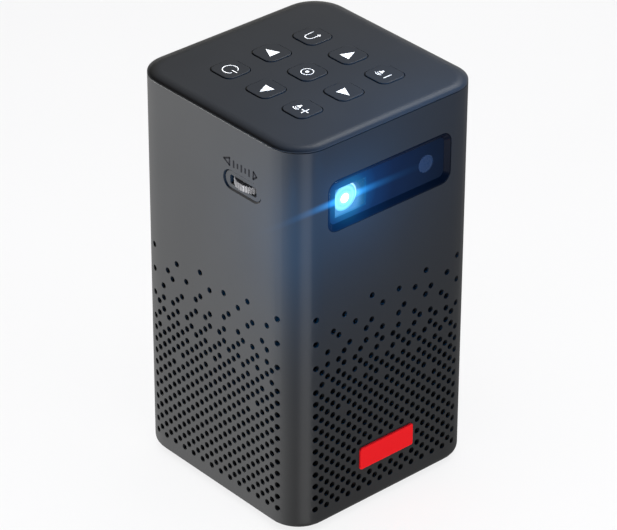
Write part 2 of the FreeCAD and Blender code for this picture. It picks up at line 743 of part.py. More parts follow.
def lens_barrel():
    """Nose and body, bored for a lens at each end, with a waist between them."""
    z = WINDOW_CENTRE_HEIGHT
    end = barrel_end_y()
    nose = along_y(LENS_X, z, NOSE_RADIUS, NOSE_Y, NOSE_Y + NOSE_LENGTH)
    body = along_y(LENS_X, z, BARREL_RADIUS, NOSE_Y + NOSE_LENGTH, end)
    barrel = fuse([nose, body])
    cuts = [
        along_y(LENS_X, z, NOSE_LIP_RADIUS, NOSE_Y - 1, NOSE_Y + NOSE_LIP + 1),
        along_y(LENS_X, z, LENS_BORE_RADIUS, front_lens_seat_y(), front_lens_seat_y() + FRONT_LENS_EDGE),
        along_y(LENS_X, z, LENS_SPACER_RADIUS, front_lens_seat_y(), end),
        along_y(LENS_X, z, LENS_BORE_RADIUS, rear_lens_seat_y(), end + 1),
    ]
    return barrel.cut(cuts)


def lens(front_y, edge, bulge, front_clear):
    """A biconvex lens on the barrel's axis: a flat rim that seats, and a bulge on each side."""
    z = WINDOW_CENTRE_HEIGHT
    back_y = front_y + edge
    rim = along_y(LENS_X, z, LENS_RADIUS, front_y, back_y)
    front = bulge_on(front_y, bulge, front_clear, -1)
    back = bulge_on(back_y, bulge, LENS_SPACER_RADIUS, 1)
    return fuse([rim, front, back])


def bulge_on(y, bulge, radius, side):
    """The cap of a sphere that stands out from the plane at y by bulge, radius wide."""
    z = WINDOW_CENTRE_HEIGHT
    ball = (radius * radius + bulge * bulge) / (2 * bulge)
    sphere = Part.makeSphere(ball, Vec(LENS_X, y + side * (bulge - ball), z), Vec(0, side, 0))
    near = min(y, y + side * bulge * 2)
    far = max(y, y + side * bulge * 2)
    return sphere.common(along_y(LENS_X, z, LENS_RADIUS, near, far))


def front_lens():
    return lens(front_lens_seat_y(), FRONT_LENS_EDGE, FRONT_LENS_BULGE, NOSE_LIP_RADIUS)


def rear_lens():
    return lens(rear_lens_seat_y(), REAR_LENS_EDGE, REAR_LENS_BULGE, LENS_SPACER_RADIUS)


def lens_lock_ring():
    z = WINDOW_CENTRE_HEIGHT
    end = barrel_end_y()
    ring = along_y(LENS_X, z, LENS_RADIUS, end - LOCK_RING_LENGTH, end)
    return ring.cut(along_y(LENS_X, z, LENS_SPACER_RADIUS, end - LOCK_RING_LENGTH - 1, end + 1))


def rack_height():
    return PINION_BOTTOM + PINION_HEIGHT / 2


def focus_rack():
    """Toothed bar beside the barrel, joined to it by a foot that fits the barrel's round side."""
    z0 = rack_height() - RACK_HEIGHT / 2
    z1 = z0 + RACK_HEIGHT
    pitch = GEAR_PITCH
    slope = math.tan(math.radians(PRESSURE_ANGLE))
    addendum = RACK_ADDENDUM * GEAR_MODULE
    root = GEAR_ROOT * GEAR_MODULE
    half = pitch / 4 - GEAR_BACKLASH / 2
    tip_half = half - addendum * slope
    root_half = half + root * slope
    root_x = RACK_X + root
    tip_x = RACK_X - addendum
    first = WHEEL_Y - RACK_TEETH_AHEAD * pitch
    last = WHEEL_Y + RACK_TEETH_BEHIND * pitch
    points = [Vec(root_x + RACK_BACK, first, z0), Vec(root_x, first, z0)]
    for tooth in range(RACK_TEETH):
        middle = first + (tooth + 0.5) * pitch
        points.append(Vec(root_x, middle - root_half, z0))
        points.append(Vec(tip_x, middle - tip_half, z0))
        points.append(Vec(tip_x, middle + tip_half, z0))
        points.append(Vec(root_x, middle + root_half, z0))
    points.append(Vec(root_x, last, z0))
    points.append(Vec(root_x + RACK_BACK, last, z0))
    points.append(points[0])
    bar = Part.Face(Part.makePolygon(points)).extrude(Vec(0, 0, z1 - z0))
    foot_end = min(last, barrel_end_y())
    foot = box(root_x + RACK_BACK, LENS_X, first, foot_end, z0, z1)
    foot = foot.cut(along_y(LENS_X, WINDOW_CENTRE_HEIGHT, BARREL_RADIUS, first - 1, foot_end + 1))
    return fuse([bar, foot.Solids[0]])


def involute_half_angle(radius, base, half_at_pitch, pitch_radius):
    """Half the angle that a tooth takes at this radius."""
    def involute(r):
        angle = math.acos(min(1.0, base / r))
        return math.tan(angle) - angle
    return half_at_pitch + involute(pitch_radius) - involute(radius)


def wheel_point(radius, angle, z):
    return Vec(WHEEL_X + radius * math.cos(angle), WHEEL_Y + radius * math.sin(angle), z)


def focus_pinion():
    """Twelve-tooth pinion under the thumbwheel, one tooth pointing at the rack."""
    pitch_radius = PITCH_RADIUS
    base = pitch_radius * math.cos(math.radians(PRESSURE_ANGLE))
    tip = pitch_radius + PINION_ADDENDUM * GEAR_MODULE
    root = pitch_radius - GEAR_ROOT * GEAR_MODULE
    half = math.pi / (2 * PINION_TEETH) - GEAR_BACKLASH / 2 / pitch_radius
    points = []
    for tooth in range(PINION_TEETH):
        middle = 2 * math.pi * tooth / PINION_TEETH
        flank = []
        for radius in (root, max(base, root), pitch_radius, tip):
            flank.append((radius, involute_half_angle(max(radius, base), base, half, pitch_radius)))
        for radius, angle in flank:
            points.append((radius, middle - angle))
        for radius, angle in reversed(flank):
            points.append((radius, middle + angle))
    corners = [wheel_point(radius, angle, PINION_BOTTOM) for radius, angle in points]
    corners.append(corners[0])
    gear = Part.Face(Part.makePolygon(corners)).extrude(Vec(0, 0, PINION_HEIGHT))
    return gear.cut(wheel_bore())


def wheel_bore():
    return cylinder(WHEEL_X, WHEEL_Y, AXLE_RADIUS + RUNNING_GAP, PINION_BOTTOM - 1, WHEEL_TOP + 1)


def focus_wheel():
    """Thumbwheel with a ribbed rim."""
    corners = []
    for rib in range(2 * KNURL_COUNT + 1):
        angle = math.pi * rib / KNURL_COUNT
        corners.append(wheel_point(WHEEL_RADIUS - (rib % 2) * KNURL_DEPTH, angle, WHEEL_BOTTOM))
    wheel = Part.Face(Part.makePolygon(corners)).extrude(Vec(0, 0, WHEEL_THICKNESS))
    return wheel.cut(wheel_bore())


def focus_axle():
    low = PINION_BOTTOM - MOVING_GAP - BRACKET_ARM
    high = WHEEL_TOP + MOVING_GAP + BRACKET_ARM
    return cylinder(WHEEL_X, WHEEL_Y, AXLE_RADIUS, low, high)


def focus_bracket():
    """Two arms that hold the axle, on a spine behind the wheel that stands on the chassis shelf."""
    low = PINION_BOTTOM - MOVING_GAP
    high = WHEEL_TOP + MOVING_GAP
    half = BRACKET_WIDTH / 2
    x1 = WHEEL_X + half
    foot_x = -POST_AT - POST_SIZE / 2 + SEAT_GAP
    spine_front = WHEEL_Y + WHEEL_RADIUS + MOVING_GAP
    spine_back = spine_front + BRACKET_SPINE
    pieces = [
        box(WHEEL_X - half, x1, spine_front, spine_back, low - BRACKET_ARM, high + BRACKET_ARM),
        box(foot_x, x1, spine_front, spine_back, SHELF_TOP, low - BRACKET_ARM),
        box(foot_x, x1, spine_front, spine_front + BRACKET_FOOT, SHELF_TOP, SHELF_TOP + BRACKET_ARM),
    ]
    for z in (low - BRACKET_ARM, high):
        pieces.append(box(WHEEL_X - half, x1, WHEEL_Y, spine_front, z, z + BRACKET_ARM))
        pieces.append(cylinder(WHEEL_X, WHEEL_Y, half, z, z + BRACKET_ARM))
    bracket = fuse(pieces)
    return bracket.cut(cylinder(WHEEL_X, WHEEL_Y, AXLE_RADIUS, low - BRACKET_ARM - 1, high + BRACKET_ARM + 1))


def guide_front_y():
    return ENGINE_FRONT_Y - GUIDE_LENGTH


def lens_guide():
    """Tube that the barrel slides in, open on the left for the rack and the wheel, flanged behind."""
    z = WINDOW_CENTRE_HEIGHT
    bore = BARREL_RADIUS + RUNNING_GAP
    front = guide_front_y()
    half = GUIDE_FLANGE / 2
    tube_outer = along_y(LENS_X, z, bore + GUIDE_WALL, front, ENGINE_FRONT_Y)
    flange = box(max(LENS_X - half, ENGINE_LEFT), LENS_X + half, ENGINE_FRONT_Y - GUIDE_FLANGE_THICKNESS,
                 ENGINE_FRONT_Y, z - half, min(z + half, ENGINE_TOP))
    guide = fuse([tube_outer, flange])
    slot_low = rack_height() - RACK_HEIGHT / 2 - MOVING_GAP
    slot_high = WHEEL_TOP + MOVING_GAP
    slot = box(LENS_X - 3 * BARREL_RADIUS, LENS_X, front - 1, ENGINE_FRONT_Y - GUIDE_FLANGE_THICKNESS,
               slot_low, slot_high)
    return guide.cut([along_y(LENS_X, z, bore, front - 1, ENGINE_FRONT_Y + 1), slot])


def engine_housing():
    """Die-cast housing of the optics, with a mouth for the lens and a stepped back."""
    body = box(ENGINE_LEFT, ENGINE_RIGHT, ENGINE_FRONT_Y, ENGINE_BACK_Y, SHELF_TOP, ENGINE_TOP)
    mouth_end = ENGINE_BACK_Y - ENGINE_BACK_WALL
    mouth = along_y(LENS_X, WINDOW_CENTRE_HEIGHT, LENS_SPACER_RADIUS, ENGINE_FRONT_Y - 1, mouth_end)
    return body.cut(mouth)


def engine_cover():
    top = ENGINE_TOP + ENGINE_COVER
    return box(ENGINE_LEFT, ENGINE_RIGHT, ENGINE_FRONT_Y, ENGINE_BACK_Y, ENGINE_TOP, top)


def image_chip_board():
    x0 = ENGINE_LEFT
    back = ENGINE_BACK_Y + CHIP_BOARD_THICKNESS
    return box(x0, x0 + CHIP_BOARD_WIDTH, ENGINE_BACK_Y, back, SHELF_TOP, ENGINE_TOP)


def lamp_modules():
    """Three small light sources: two on the right side of the engine, one on its back."""
    middle = (SHELF_TOP + ENGINE_TOP) / 2
    low = middle - LAMP_SIZE / 2
    high = middle + LAMP_SIZE / 2
    lamps = []
    first = ENGINE_FRONT_Y + LAMP_INSET
    for y in (first, first + LAMP_SPACING):
        lamps.append(box(ENGINE_RIGHT, ENGINE_RIGHT + LAMP_DEPTH, y, y + LAMP_SIZE, low, high))
    x = ENGINE_RIGHT - BACK_LAMP_INSET - LAMP_SIZE
    lamps.append(box(x, x + LAMP_SIZE, ENGINE_BACK_Y, ENGINE_BACK_Y + LAMP_DEPTH, low, high))
    return group(lamps)


def heat_sink():
    """Base let through the shelf onto the engine, with upright fins below it."""
    x0 = SINK_CENTRE_X - SINK_WIDTH / 2
    back = SINK_FRONT_Y + SINK_DEPTH
    base = box(x0, x0 + SINK_WIDTH, SINK_FRONT_Y, back, FIN_TOP, SINK_TOP)
    pitch = (SINK_WIDTH - FIN_THICKNESS) / (FIN_COUNT - 1)
    fins = []
    for fin in range(FIN_COUNT):
        x = x0 + fin * pitch
        fins.append(box(x, x + FIN_THICKNESS, SINK_FRONT_Y, back, FIN_TOP - FIN_HEIGHT, FIN_TOP))
    return fuse([base] + fins)


def fan_cylinder(radius, y0, y1):
    return along_y(SINK_CENTRE_X, FAN_CENTRE_HEIGHT, radius, y0, y1)


def fan_frame():
    """Square frame with the round duct, and four struts across its back that carry the motor."""
    half = FAN_SIZE / 2
    z = FAN_CENTRE_HEIGHT
    x = SINK_CENTRE_X
    frame = box(x - half, x + half, FAN_FRONT_Y, FAN_BACK_Y, z - half, z + half)
    frame = frame.cut(fan_cylinder(FAN_BORE_RADIUS, FAN_FRONT_Y - 1, FAN_BACK_Y + 1))
    strut_front = FAN_BACK_Y - FAN_STRUT_DEPTH
    reach = FAN_BORE_RADIUS + FAN_STRUT / 4
    strut = FAN_STRUT / 2
    struts = [
        box(x - reach, x + reach, strut_front, FAN_BACK_Y, z - strut, z + strut),
        box(x - strut, x + strut, strut_front, FAN_BACK_Y, z - reach, z + reach),
        fan_cylinder(FAN_HUB_RADIUS, strut_front, FAN_BACK_Y),
    ]
    return fuse([frame] + struts)


def fan_motor():
    """Stator with the bearing tube for the rotor's shaft."""
    back = FAN_BACK_Y - FAN_STRUT_DEPTH
    front = FAN_FRONT_Y + FAN_FRONT_RECESS + CUP_FLOOR + MOVING_GAP
    stator = fan_cylinder(FAN_MOTOR_RADIUS, front, back)
    return stator.cut(fan_cylinder(FAN_SHAFT_RADIUS + RUNNING_GAP, front - 1, back + 1))


def fan_rotor():
    """Cup with seven slanted blades, on a shaft."""
    x = SINK_CENTRE_X
    z = FAN_CENTRE_HEIGHT
    front = FAN_FRONT_Y + FAN_FRONT_RECESS
    back = FAN_BACK_Y - FAN_STRUT_DEPTH - MOVING_GAP
    cup = fan_cylinder(FAN_HUB_RADIUS, front, back)
    cup = cup.cut(fan_cylinder(FAN_HUB_RADIUS - FAN_HUB_WALL, front + CUP_FLOOR, back + 1))
    shaft = fan_cylinder(FAN_SHAFT_RADIUS, front, back)
    tip = FAN_BORE_RADIUS - FAN_TIP_GAP
    half_tangent = BLADE_CHORD / 2 * math.cos(math.radians(BLADE_ANGLE)) + BLADE_THICKNESS / 2
    reach = math.sqrt(tip * tip - half_tangent * half_tangent)
    middle = (front + back) / 2
    blades = []
    for blade in range(FAN_BLADES):
        plate = box(FAN_HUB_RADIUS - FAN_HUB_WALL / 2, reach, -BLADE_CHORD / 2, BLADE_CHORD / 2,
                    -BLADE_THICKNESS / 2, BLADE_THICKNESS / 2)
        plate.rotate(ORIGIN, X_AXIS, BLADE_ANGLE)
        plate.rotate(ORIGIN, Z_AXIS, 360.0 * blade / FAN_BLADES)
        plate.rotate(ORIGIN, X_AXIS, 90)
        plate.translate(Vec(x, middle, z))
        blades.append(plate)
    return fuse([cup, shaft] + blades)


def main_board():
    return box(BOARD_X, BOARD_X + BOARD_THICKNESS, BOARD_FRONT_Y, BOARD_BACK_Y, BOARD_BOTTOM, BOARD_TOP)


def processor_shield():
    back = SOCKET_BACK_Y - SHIELD_GAP
    low = BOARD_BOTTOM + SHIELD_RISE
    return box(BOARD_X - SHIELD_THICKNESS, BOARD_X, back - SHIELD_LENGTH, back, low, low + SHIELD_HEIGHT)


def side_wall_x():
    return POST_AT + POST_SIZE / 2 - SIDE_WALL_THICKNESS


def board_spacers():
    """Hexagonal spacers between the main board and the chassis side wall."""
    x0 = BOARD_X + BOARD_THICKNESS
    spacers = []
    for y in (BOARD_FRONT_Y + SPACER_INSET_FRONT, BOARD_BACK_Y - SPACER_INSET_BACK):
        for z in (BOARD_BOTTOM + SPACER_INSET_BOTTOM, SIDE_WALL_TOP - SPACER_INSET_TOP):
            spacers.append(hexagonal_rod(Vec(x0, y, z), side_wall_x() - x0))
    return group(spacers)


def hexagonal_rod(foot, length):
    around = [math.radians(60 * side) for side in range(7)]
    corners = [foot + Vec(0, math.cos(angle), math.sin(angle)) * SPACER_RADIUS for angle in around]
    return Part.Face(Part.makePolygon(corners)).extrude(Vec(length, 0, 0))


def socket_shell(centre, width, height):
    """Open metal shell on the board, wide side upright, with its contact tongue set back."""
    y0 = SOCKET_BACK_Y
    x0 = SOCKET_X - height / 2
    x1 = SOCKET_X + height / 2
    low = centre - width / 2
    high = centre + width / 2
    wall = SOCKET_SHELL
    thin = SOCKET_TONGUE / 2
    inset = SOCKET_TONGUE_INSET
    tip = SOCKET_MOUTH_Y - SOCKET_TONGUE_SETBACK
    shell = box(x0, x1, y0, SOCKET_MOUTH_Y, low, high)
    inner = box(x0 + wall, x1 - wall, y0 + SOCKET_BACK, SOCKET_MOUTH_Y + 1, low + wall, high - wall)
    tongue = box(SOCKET_X - thin, SOCKET_X + thin, y0 + SOCKET_BACK / 2, tip, low + inset, high - inset)
    foot = box(x1, BOARD_X, y0, BOARD_BACK_Y, low + SOCKET_FOOT_INSET, high - SOCKET_FOOT_INSET)
    return fuse([shell.cut(inner), tongue, foot])


def hdmi_socket():
    return socket_shell(HDMI_CENTRE, HDMI_WIDTH, HDMI_HEIGHT)


def usb_socket():
    return socket_shell(USB_CENTRE, USB_WIDTH, USB_HEIGHT)


def jack_body(centre, bore):
    y0 = SOCKET_BACK_Y
    half = JACK_SIZE / 2
    body = box(SOCKET_X - half, BOARD_X, y0, BOARD_BACK_Y, centre - half, centre + half)
    neck = along_y(SOCKET_X, centre, half, y0 + JACK_BACK, SOCKET_MOUTH_Y)
    return fuse([body, neck]).cut(along_y(SOCKET_X, centre, bore, y0 + JACK_BACK, SOCKET_MOUTH_Y + 1))


def audio_jack():
    return jack_body(AUDIO_CENTRE, AUDIO_BORE_RADIUS)


def power_jack():
    tip = SOCKET_MOUTH_Y - POWER_PIN_SETBACK
    pin = along_y(SOCKET_X, POWER_CENTRE, POWER_PIN_RADIUS, SOCKET_BACK_Y, tip)
    return fuse([jack_body(POWER_CENTRE, POWER_BORE_RADIUS), pin])


def port_panel():
    """Panel behind the rear cut-out, with an opening round each socket."""
    u = -SOCKET_X
    gap = 2 * SEAT_GAP
    pad = panel_slab(-SEAT_GAP, PANEL_RECESS, WALL)
    flange = panel_slab(PANEL_FLANGE, WALL, WALL + PANEL_FLANGE)
    far = WALL + PANEL_FLANGE + 1
    openings = [
        face_slab("rear", u, HDMI_CENTRE, HDMI_HEIGHT + gap, HDMI_WIDTH + gap, 0, -1, far),
        face_slab("rear", u, USB_CENTRE, USB_HEIGHT + gap, USB_WIDTH + gap, 0, -1, far),
    ]
    for centre in (AUDIO_CENTRE, POWER_CENTRE):
        openings.append(face_cylinder("rear", u, centre, JACK_SIZE / 2 + SEAT_GAP, -1, far))
    return fuse([pad, flange]).cut(openings)


def battery_cells():
    return group([cylinder(CELL_X, y, CELL_RADIUS, CELL_BOTTOM, CELL_BOTTOM + CELL_LENGTH)
                  for y in (CELL_REAR_Y, CELL_FRONT_Y)])


def battery_tray():
    """Cup that holds the feet of both cells."""
    reach = CELL_RADIUS + TRAY_WALL
    middle = (CELL_REAR_Y + CELL_FRONT_Y) / 2
    length = CELL_REAR_Y - CELL_FRONT_Y + 2 * reach
    tray = slab(2 * reach, length, TRAY_CORNER, FLOOR_TOP, FLOOR_TOP + TRAY_HEIGHT, CELL_X, middle)
    wells = [cylinder(CELL_X, y, CELL_RADIUS + RUNNING_GAP, CELL_BOTTOM, FLOOR_TOP + TRAY_HEIGHT + 1)
             for y in (CELL_REAR_Y, CELL_FRONT_Y)]
    return tray.cut(wells)


def speaker_front_y():
    return -INNER_HALF + LINER_THICKNESS + SEAT_GAP


def speaker_cylinder(radius, y0, y1):
    return along_y(0, SPEAKER_CENTRE_HEIGHT, radius, y0, y1)


def speaker_basket():
    """Pressed pot with a round flange in front and a closed back that carries the magnet."""
    front = speaker_front_y()
    flange_back = front + BASKET_FLANGE
    back = front + BASKET_DEPTH
    flange = speaker_cylinder(SPEAKER_RADIUS, front, flange_back)
    pot = speaker_cylinder(CONE_OUTER + BASKET_WALL, flange_back, back)
    return fuse([flange, pot]).cut(speaker_cylinder(CONE_OUTER, front - 1, back - BASKET_WALL))


def speaker_cone():
    """Membrane with its dust cap, turned."""
    z = SPEAKER_CENTRE_HEIGHT
    front = speaker_front_y() + BASKET_FLANGE / 2
    back = front + CONE_DEPTH
    points = [Vec(0, back, z), Vec(CONE_INNER, back, z), Vec(CONE_OUTER, front, z),
              Vec(CONE_OUTER, front + CONE_THICKNESS, z), Vec(CONE_INNER, back + CONE_THICKNESS, z),
              Vec(0, back + CONE_THICKNESS, z)]
    return Part.Face(Part.makePolygon(points + points[:1])).revolve(Vec(0, 0, z), Y_AXIS, 360)


def speaker_magnet():
    y0 = speaker_front_y() + BASKET_DEPTH
    return speaker_cylinder(MAGNET_RADIUS, y0, y0 + MAGNET_DEPTH)


def speaker_box():
    """Closed enclosure behind the loudspeaker, standing on the chassis floor."""
    front = speaker_front_y() + BASKET_FLANGE
    back = front + SPEAKER_BOX_DEPTH
    half = BOARD_X - SPEAKER_BOX_GAP
    wall = SPEAKER_BOX_WALL
    high = SPEAKER_BOX_TOP - wall
    shell = box(-half, half, front, back, FLOOR_TOP, SPEAKER_BOX_TOP)
    inside = box(-half + wall, half - wall, front + wall, back - wall, FLOOR_TOP + wall, high)
    mouth = speaker_cylinder(CONE_OUTER + BASKET_WALL + SEAT_GAP, front - 1, front + wall + 1)
    return shell.cut([inside, mouth])


def inner_frame():
    """Chassis: floor, four posts, a right side wall for the main board and a shelf for the engine."""
    floor_half = INNER_HALF - SEAT_GAP
    floor = slab(2 * floor_half, 2 * floor_half, INNER_RADIUS - SEAT_GAP, LIP_TOP, FLOOR_TOP)
    pieces = [floor]
    for x, y in four_corners(POST_AT):
        pieces.append(square_post(x, y, POST_SIZE, FLOOR_TOP, POST_TOP))
    x0 = side_wall_x()
    pieces.append(box(x0, x0 + SIDE_WALL_THICKNESS, -POST_AT, POST_AT, FLOOR_TOP, SIDE_WALL_TOP))
    edge = POST_AT + POST_SIZE / 2
    pieces.append(box(-edge, edge, -edge, edge, SHELF_HEIGHT, SHELF_TOP))
    frame = fuse(pieces)
    ribbon_slot = RIBBON_WIDTH / 2 + RIBBON_SOCKET_CHEEK
    sink_x = SINK_CENTRE_X - SINK_WIDTH / 2 - MOVING_GAP
    sink_back = SINK_FRONT_Y + SINK_DEPTH + MOVING_GAP
    cuts = [
        box(sink_x, sink_x + SINK_WIDTH + 2 * MOVING_GAP, SINK_FRONT_Y - MOVING_GAP, sink_back,
            SHELF_HEIGHT - 1, SHELF_TOP + 1),
        cylinder(0, 0, TRIPOD_BOSS_RADIUS + MOVING_GAP, LIP_TOP - 1, FLOOR_TOP + 1),
        box(ribbon_x() - 1, ribbon_x() + 1, -ribbon_slot, ribbon_slot, SHELF_HEIGHT - 1, SHELF_TOP + 1),
    ]
    for x, y in four_corners(POST_AT):
        top = SLEEVE_BOTTOM + SCREW_LENGTH
        cuts.append(cylinder(x, y, SCREW_RADIUS, LIP_TOP - 1, top + 1))
    return frame.cut(cuts)


def base_plate():
    """Plate let into the bottom, with seats for the feet, the screws and the tripod insert."""
    half = BASE_HALF - SEAT_GAP
    plate = slab(2 * half, 2 * half, BASE_CORNER - SEAT_GAP, SLEEVE_BOTTOM, BASE_TOP)
    boss = cylinder(0, 0, TRIPOD_BOSS_RADIUS, BASE_TOP, SLEEVE_BOTTOM + TRIPOD_INSERT_LENGTH)
    plate = fuse([plate, boss])
    cuts = [cylinder(0, 0, TRIPOD_INSERT_RADIUS, SLEEVE_BOTTOM - 1, SLEEVE_BOTTOM + TRIPOD_INSERT_LENGTH + 1)]
    for x, y in four_corners(FOOT_AT):
        cuts.append(cylinder(x, y, FOOT_RADIUS, SLEEVE_BOTTOM - 1, SLEEVE_BOTTOM + FOOT_RECESS))
    sink_top = SLEEVE_BOTTOM + SCREW_HEAD_HEIGHT
    for x, y in four_corners(POST_AT):
        cuts.append(cylinder(x, y, SCREW_HEAD_RADIUS + SEAT_GAP, SLEEVE_BOTTOM - 1, sink_top))
        cuts.append(cylinder(x, y, SCREW_RADIUS + MOVING_GAP, SLEEVE_BOTTOM, BASE_TOP + 1))
    return plate.cut(cuts)


def rubber_feet():
    top = SLEEVE_BOTTOM + FOOT_RECESS
    return group([cylinder(x, y, FOOT_RADIUS, 0, top) for x, y in four_corners(FOOT_AT)])


def tripod_insert():
    top = SLEEVE_BOTTOM + TRIPOD_INSERT_LENGTH
    return tube(0, 0, TRIPOD_INSERT_RADIUS, TRIPOD_BORE_RADIUS, SLEEVE_BOTTOM, top)


def base_screws():
    screws = []
    for x, y in four_corners(POST_AT):
        head = cylinder(x, y, SCREW_HEAD_RADIUS, SLEEVE_BOTTOM, SLEEVE_BOTTOM + SCREW_HEAD_HEIGHT)
        shank = cylinder(x, y, SCREW_RADIUS, SLEEVE_BOTTOM, SLEEVE_BOTTOM + SCREW_LENGTH)
        screws.append(fuse([head, shank]))
    return group(screws)


PIECES = [
    body_sleeve, top_cap, badge_plate, dust_liner, keypad_board, key_switches, keypad_ribbon,
    ribbon_sockets, window_bezel, window_glass, window_seal, sensor_board, light_sensor,
    lens_barrel, front_lens, rear_lens, lens_lock_ring, focus_rack, lens_guide, focus_wheel,
    focus_pinion, focus_axle, focus_bracket, engine_housing, engine_cover, image_chip_board,
    lamp_modules, heat_sink, fan_frame, fan_motor, fan_rotor, main_board, processor_shield,
    board_spacers, hdmi_socket, usb_socket, audio_jack, power_jack, port_panel, battery_cells,
    battery_tray, speaker_basket, speaker_cone, speaker_magnet, speaker_box, inner_frame,
    base_plate, rubber_feet, tripod_insert, base_screws,
]


def export(name, shape):
    if not shape.isValid():
        print("not valid:", name)
    shape.exportStep(os.path.join("parts", name + ".step"))
    print(name, "solids", len(shape.Solids), "volume", round(shape.Volume, 1))


def main():
    os.makedirs("parts", exist_ok=True)
    for piece in PIECES:
        export(piece.__name__, piece())
    for name, (column, row) in KEYS.items():
        export(name, key(column * KEY_PITCH, row * KEY_PITCH))


main()
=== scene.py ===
# %% [markdown]
# This lesson dresses a small tower projector. Its solids come from CAD as a fixed frame, in metres,
# and every piece made here sits on them and rides on one of their bodies. The first step loads the
# frame and keeps its box, so that the last step can say whether anything grew past it.

# %% Load the frame
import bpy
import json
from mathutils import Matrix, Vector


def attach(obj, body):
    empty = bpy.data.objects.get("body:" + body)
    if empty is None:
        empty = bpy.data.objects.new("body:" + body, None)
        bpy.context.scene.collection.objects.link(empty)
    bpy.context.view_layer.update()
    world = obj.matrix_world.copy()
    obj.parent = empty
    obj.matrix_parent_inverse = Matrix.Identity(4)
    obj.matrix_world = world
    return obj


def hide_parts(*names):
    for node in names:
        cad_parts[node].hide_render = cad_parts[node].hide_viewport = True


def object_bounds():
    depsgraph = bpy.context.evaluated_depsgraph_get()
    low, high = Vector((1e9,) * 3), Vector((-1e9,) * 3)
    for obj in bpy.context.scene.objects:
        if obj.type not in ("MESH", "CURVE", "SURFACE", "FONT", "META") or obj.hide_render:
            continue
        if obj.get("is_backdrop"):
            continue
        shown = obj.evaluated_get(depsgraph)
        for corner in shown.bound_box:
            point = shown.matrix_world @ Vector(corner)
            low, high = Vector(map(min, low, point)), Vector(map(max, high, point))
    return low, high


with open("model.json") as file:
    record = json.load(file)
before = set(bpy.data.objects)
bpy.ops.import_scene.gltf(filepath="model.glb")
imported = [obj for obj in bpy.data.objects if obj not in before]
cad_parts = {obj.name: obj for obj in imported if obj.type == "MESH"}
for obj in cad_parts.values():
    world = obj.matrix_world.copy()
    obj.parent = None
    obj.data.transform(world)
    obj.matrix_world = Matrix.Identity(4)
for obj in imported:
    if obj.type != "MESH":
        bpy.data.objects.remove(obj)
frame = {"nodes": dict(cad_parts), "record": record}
cad_box = [list(corner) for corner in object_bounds()]
print("CAD box", cad_box, "with", len(frame["nodes"]), "nodes")

# %% [markdown]
# A projector of this size is thought of in millimetres, so the pieces are modelled in millimetres
# and brought to metres only when they are finished. The few body sizes below are the CAD's own.

# %% Body sizes in millimetres
import json
from math import asin, atan2, cos, degrees, pi, radians, sin
import bmesh
import bpy
from mathutils import Matrix, Vector

MM = 0.001
BODY = 81.5
HALF = BODY / 2
CORNER = 12.0
WALL = 2.0
STRAIGHT = HALF - CORNER
print("flat part of each side", 2 * STRAIGHT, "mm wide")

# %% [markdown]
# The photograph looks down on the projector from its front left, with a long lens: the verticals
# hardly lean in. The camera's place and turn were worked out from the corners, the keys and the
# grille holes, whose real places are known. Blender's camera looks along its own minus Z.

# %% Camera
lens_view = bpy.data.cameras.new("camera")
lens_view.sensor_width = 36.0
lens_view.lens = 199.572
lens_view.clip_start = 0.05
camera = bpy.data.objects.new("camera", lens_view)
camera.matrix_world = Matrix((
    (0.7507336, 0.3412149, -0.5656602, -653.9252 * MM),
    (-0.6605954, 0.3924023, -0.6400267, -740.8366 * MM),
    (0.0035797, 0.8541621, 0.5199945, 675.7218 * MM),
    (0.0, 0.0, 0.0, 1.0),
))
bpy.context.scene.collection.objects.link(camera)
bpy.context.scene.camera = camera
print("camera", [round(value, 3) for value in camera.location])

# %% [markdown]
# A finish is a small graph of shader nodes. It could be written node by node, but then its sums are
# hard to read. So a socket is wrapped in a class that takes part in them: a plus, a times or a
# comparison of two sockets adds its Math node and gives that node's socket back.

# %% Sockets that can be added and multiplied
class Wire:
    """One socket of a finish, written into sums like a number."""

    def __init__(self, finish, socket):
        self.finish = finish
        self.socket = socket

    def sum_of(self, operation, first, second):
        return self.finish.node("ShaderNodeMath", {"operation": operation}, {0: first, 1: second})

    def __add__(self, other):
        return self.sum_of("ADD", self, other)

    def __sub__(self, other):
        return self.sum_of("SUBTRACT", self, other)

    def __rsub__(self, other):
        return self.sum_of("SUBTRACT", other, self)

    def __mul__(self, other):
        return self.sum_of("MULTIPLY", self, other)

    def __truediv__(self, other):
        return self.sum_of("DIVIDE", self, other)

    def __rtruediv__(self, other):
        return self.sum_of("DIVIDE", other, self)

    def __pow__(self, other):
        return self.sum_of("POWER", self, other)

    def __lt__(self, other):
        return self.sum_of("LESS_THAN", self, other)

    def __gt__(self, other):
        return self.sum_of("GREATER_THAN", self, other)

    __radd__ = __add__
    __rmul__ = __mul__


print("sockets can be added, subtracted, multiplied, divided, raised and compared")

# %% [markdown]
# One finish is one material. It starts from the piece's own Object coordinates, which stay with the
# piece when it moves. Any kind of node comes from one method, which gives its settings first and
# then its sockets. What comes up in most finishes has a short name of its own: one coordinate, a
# sum of vectors, a mix of two colours, cloudy noise and relief.

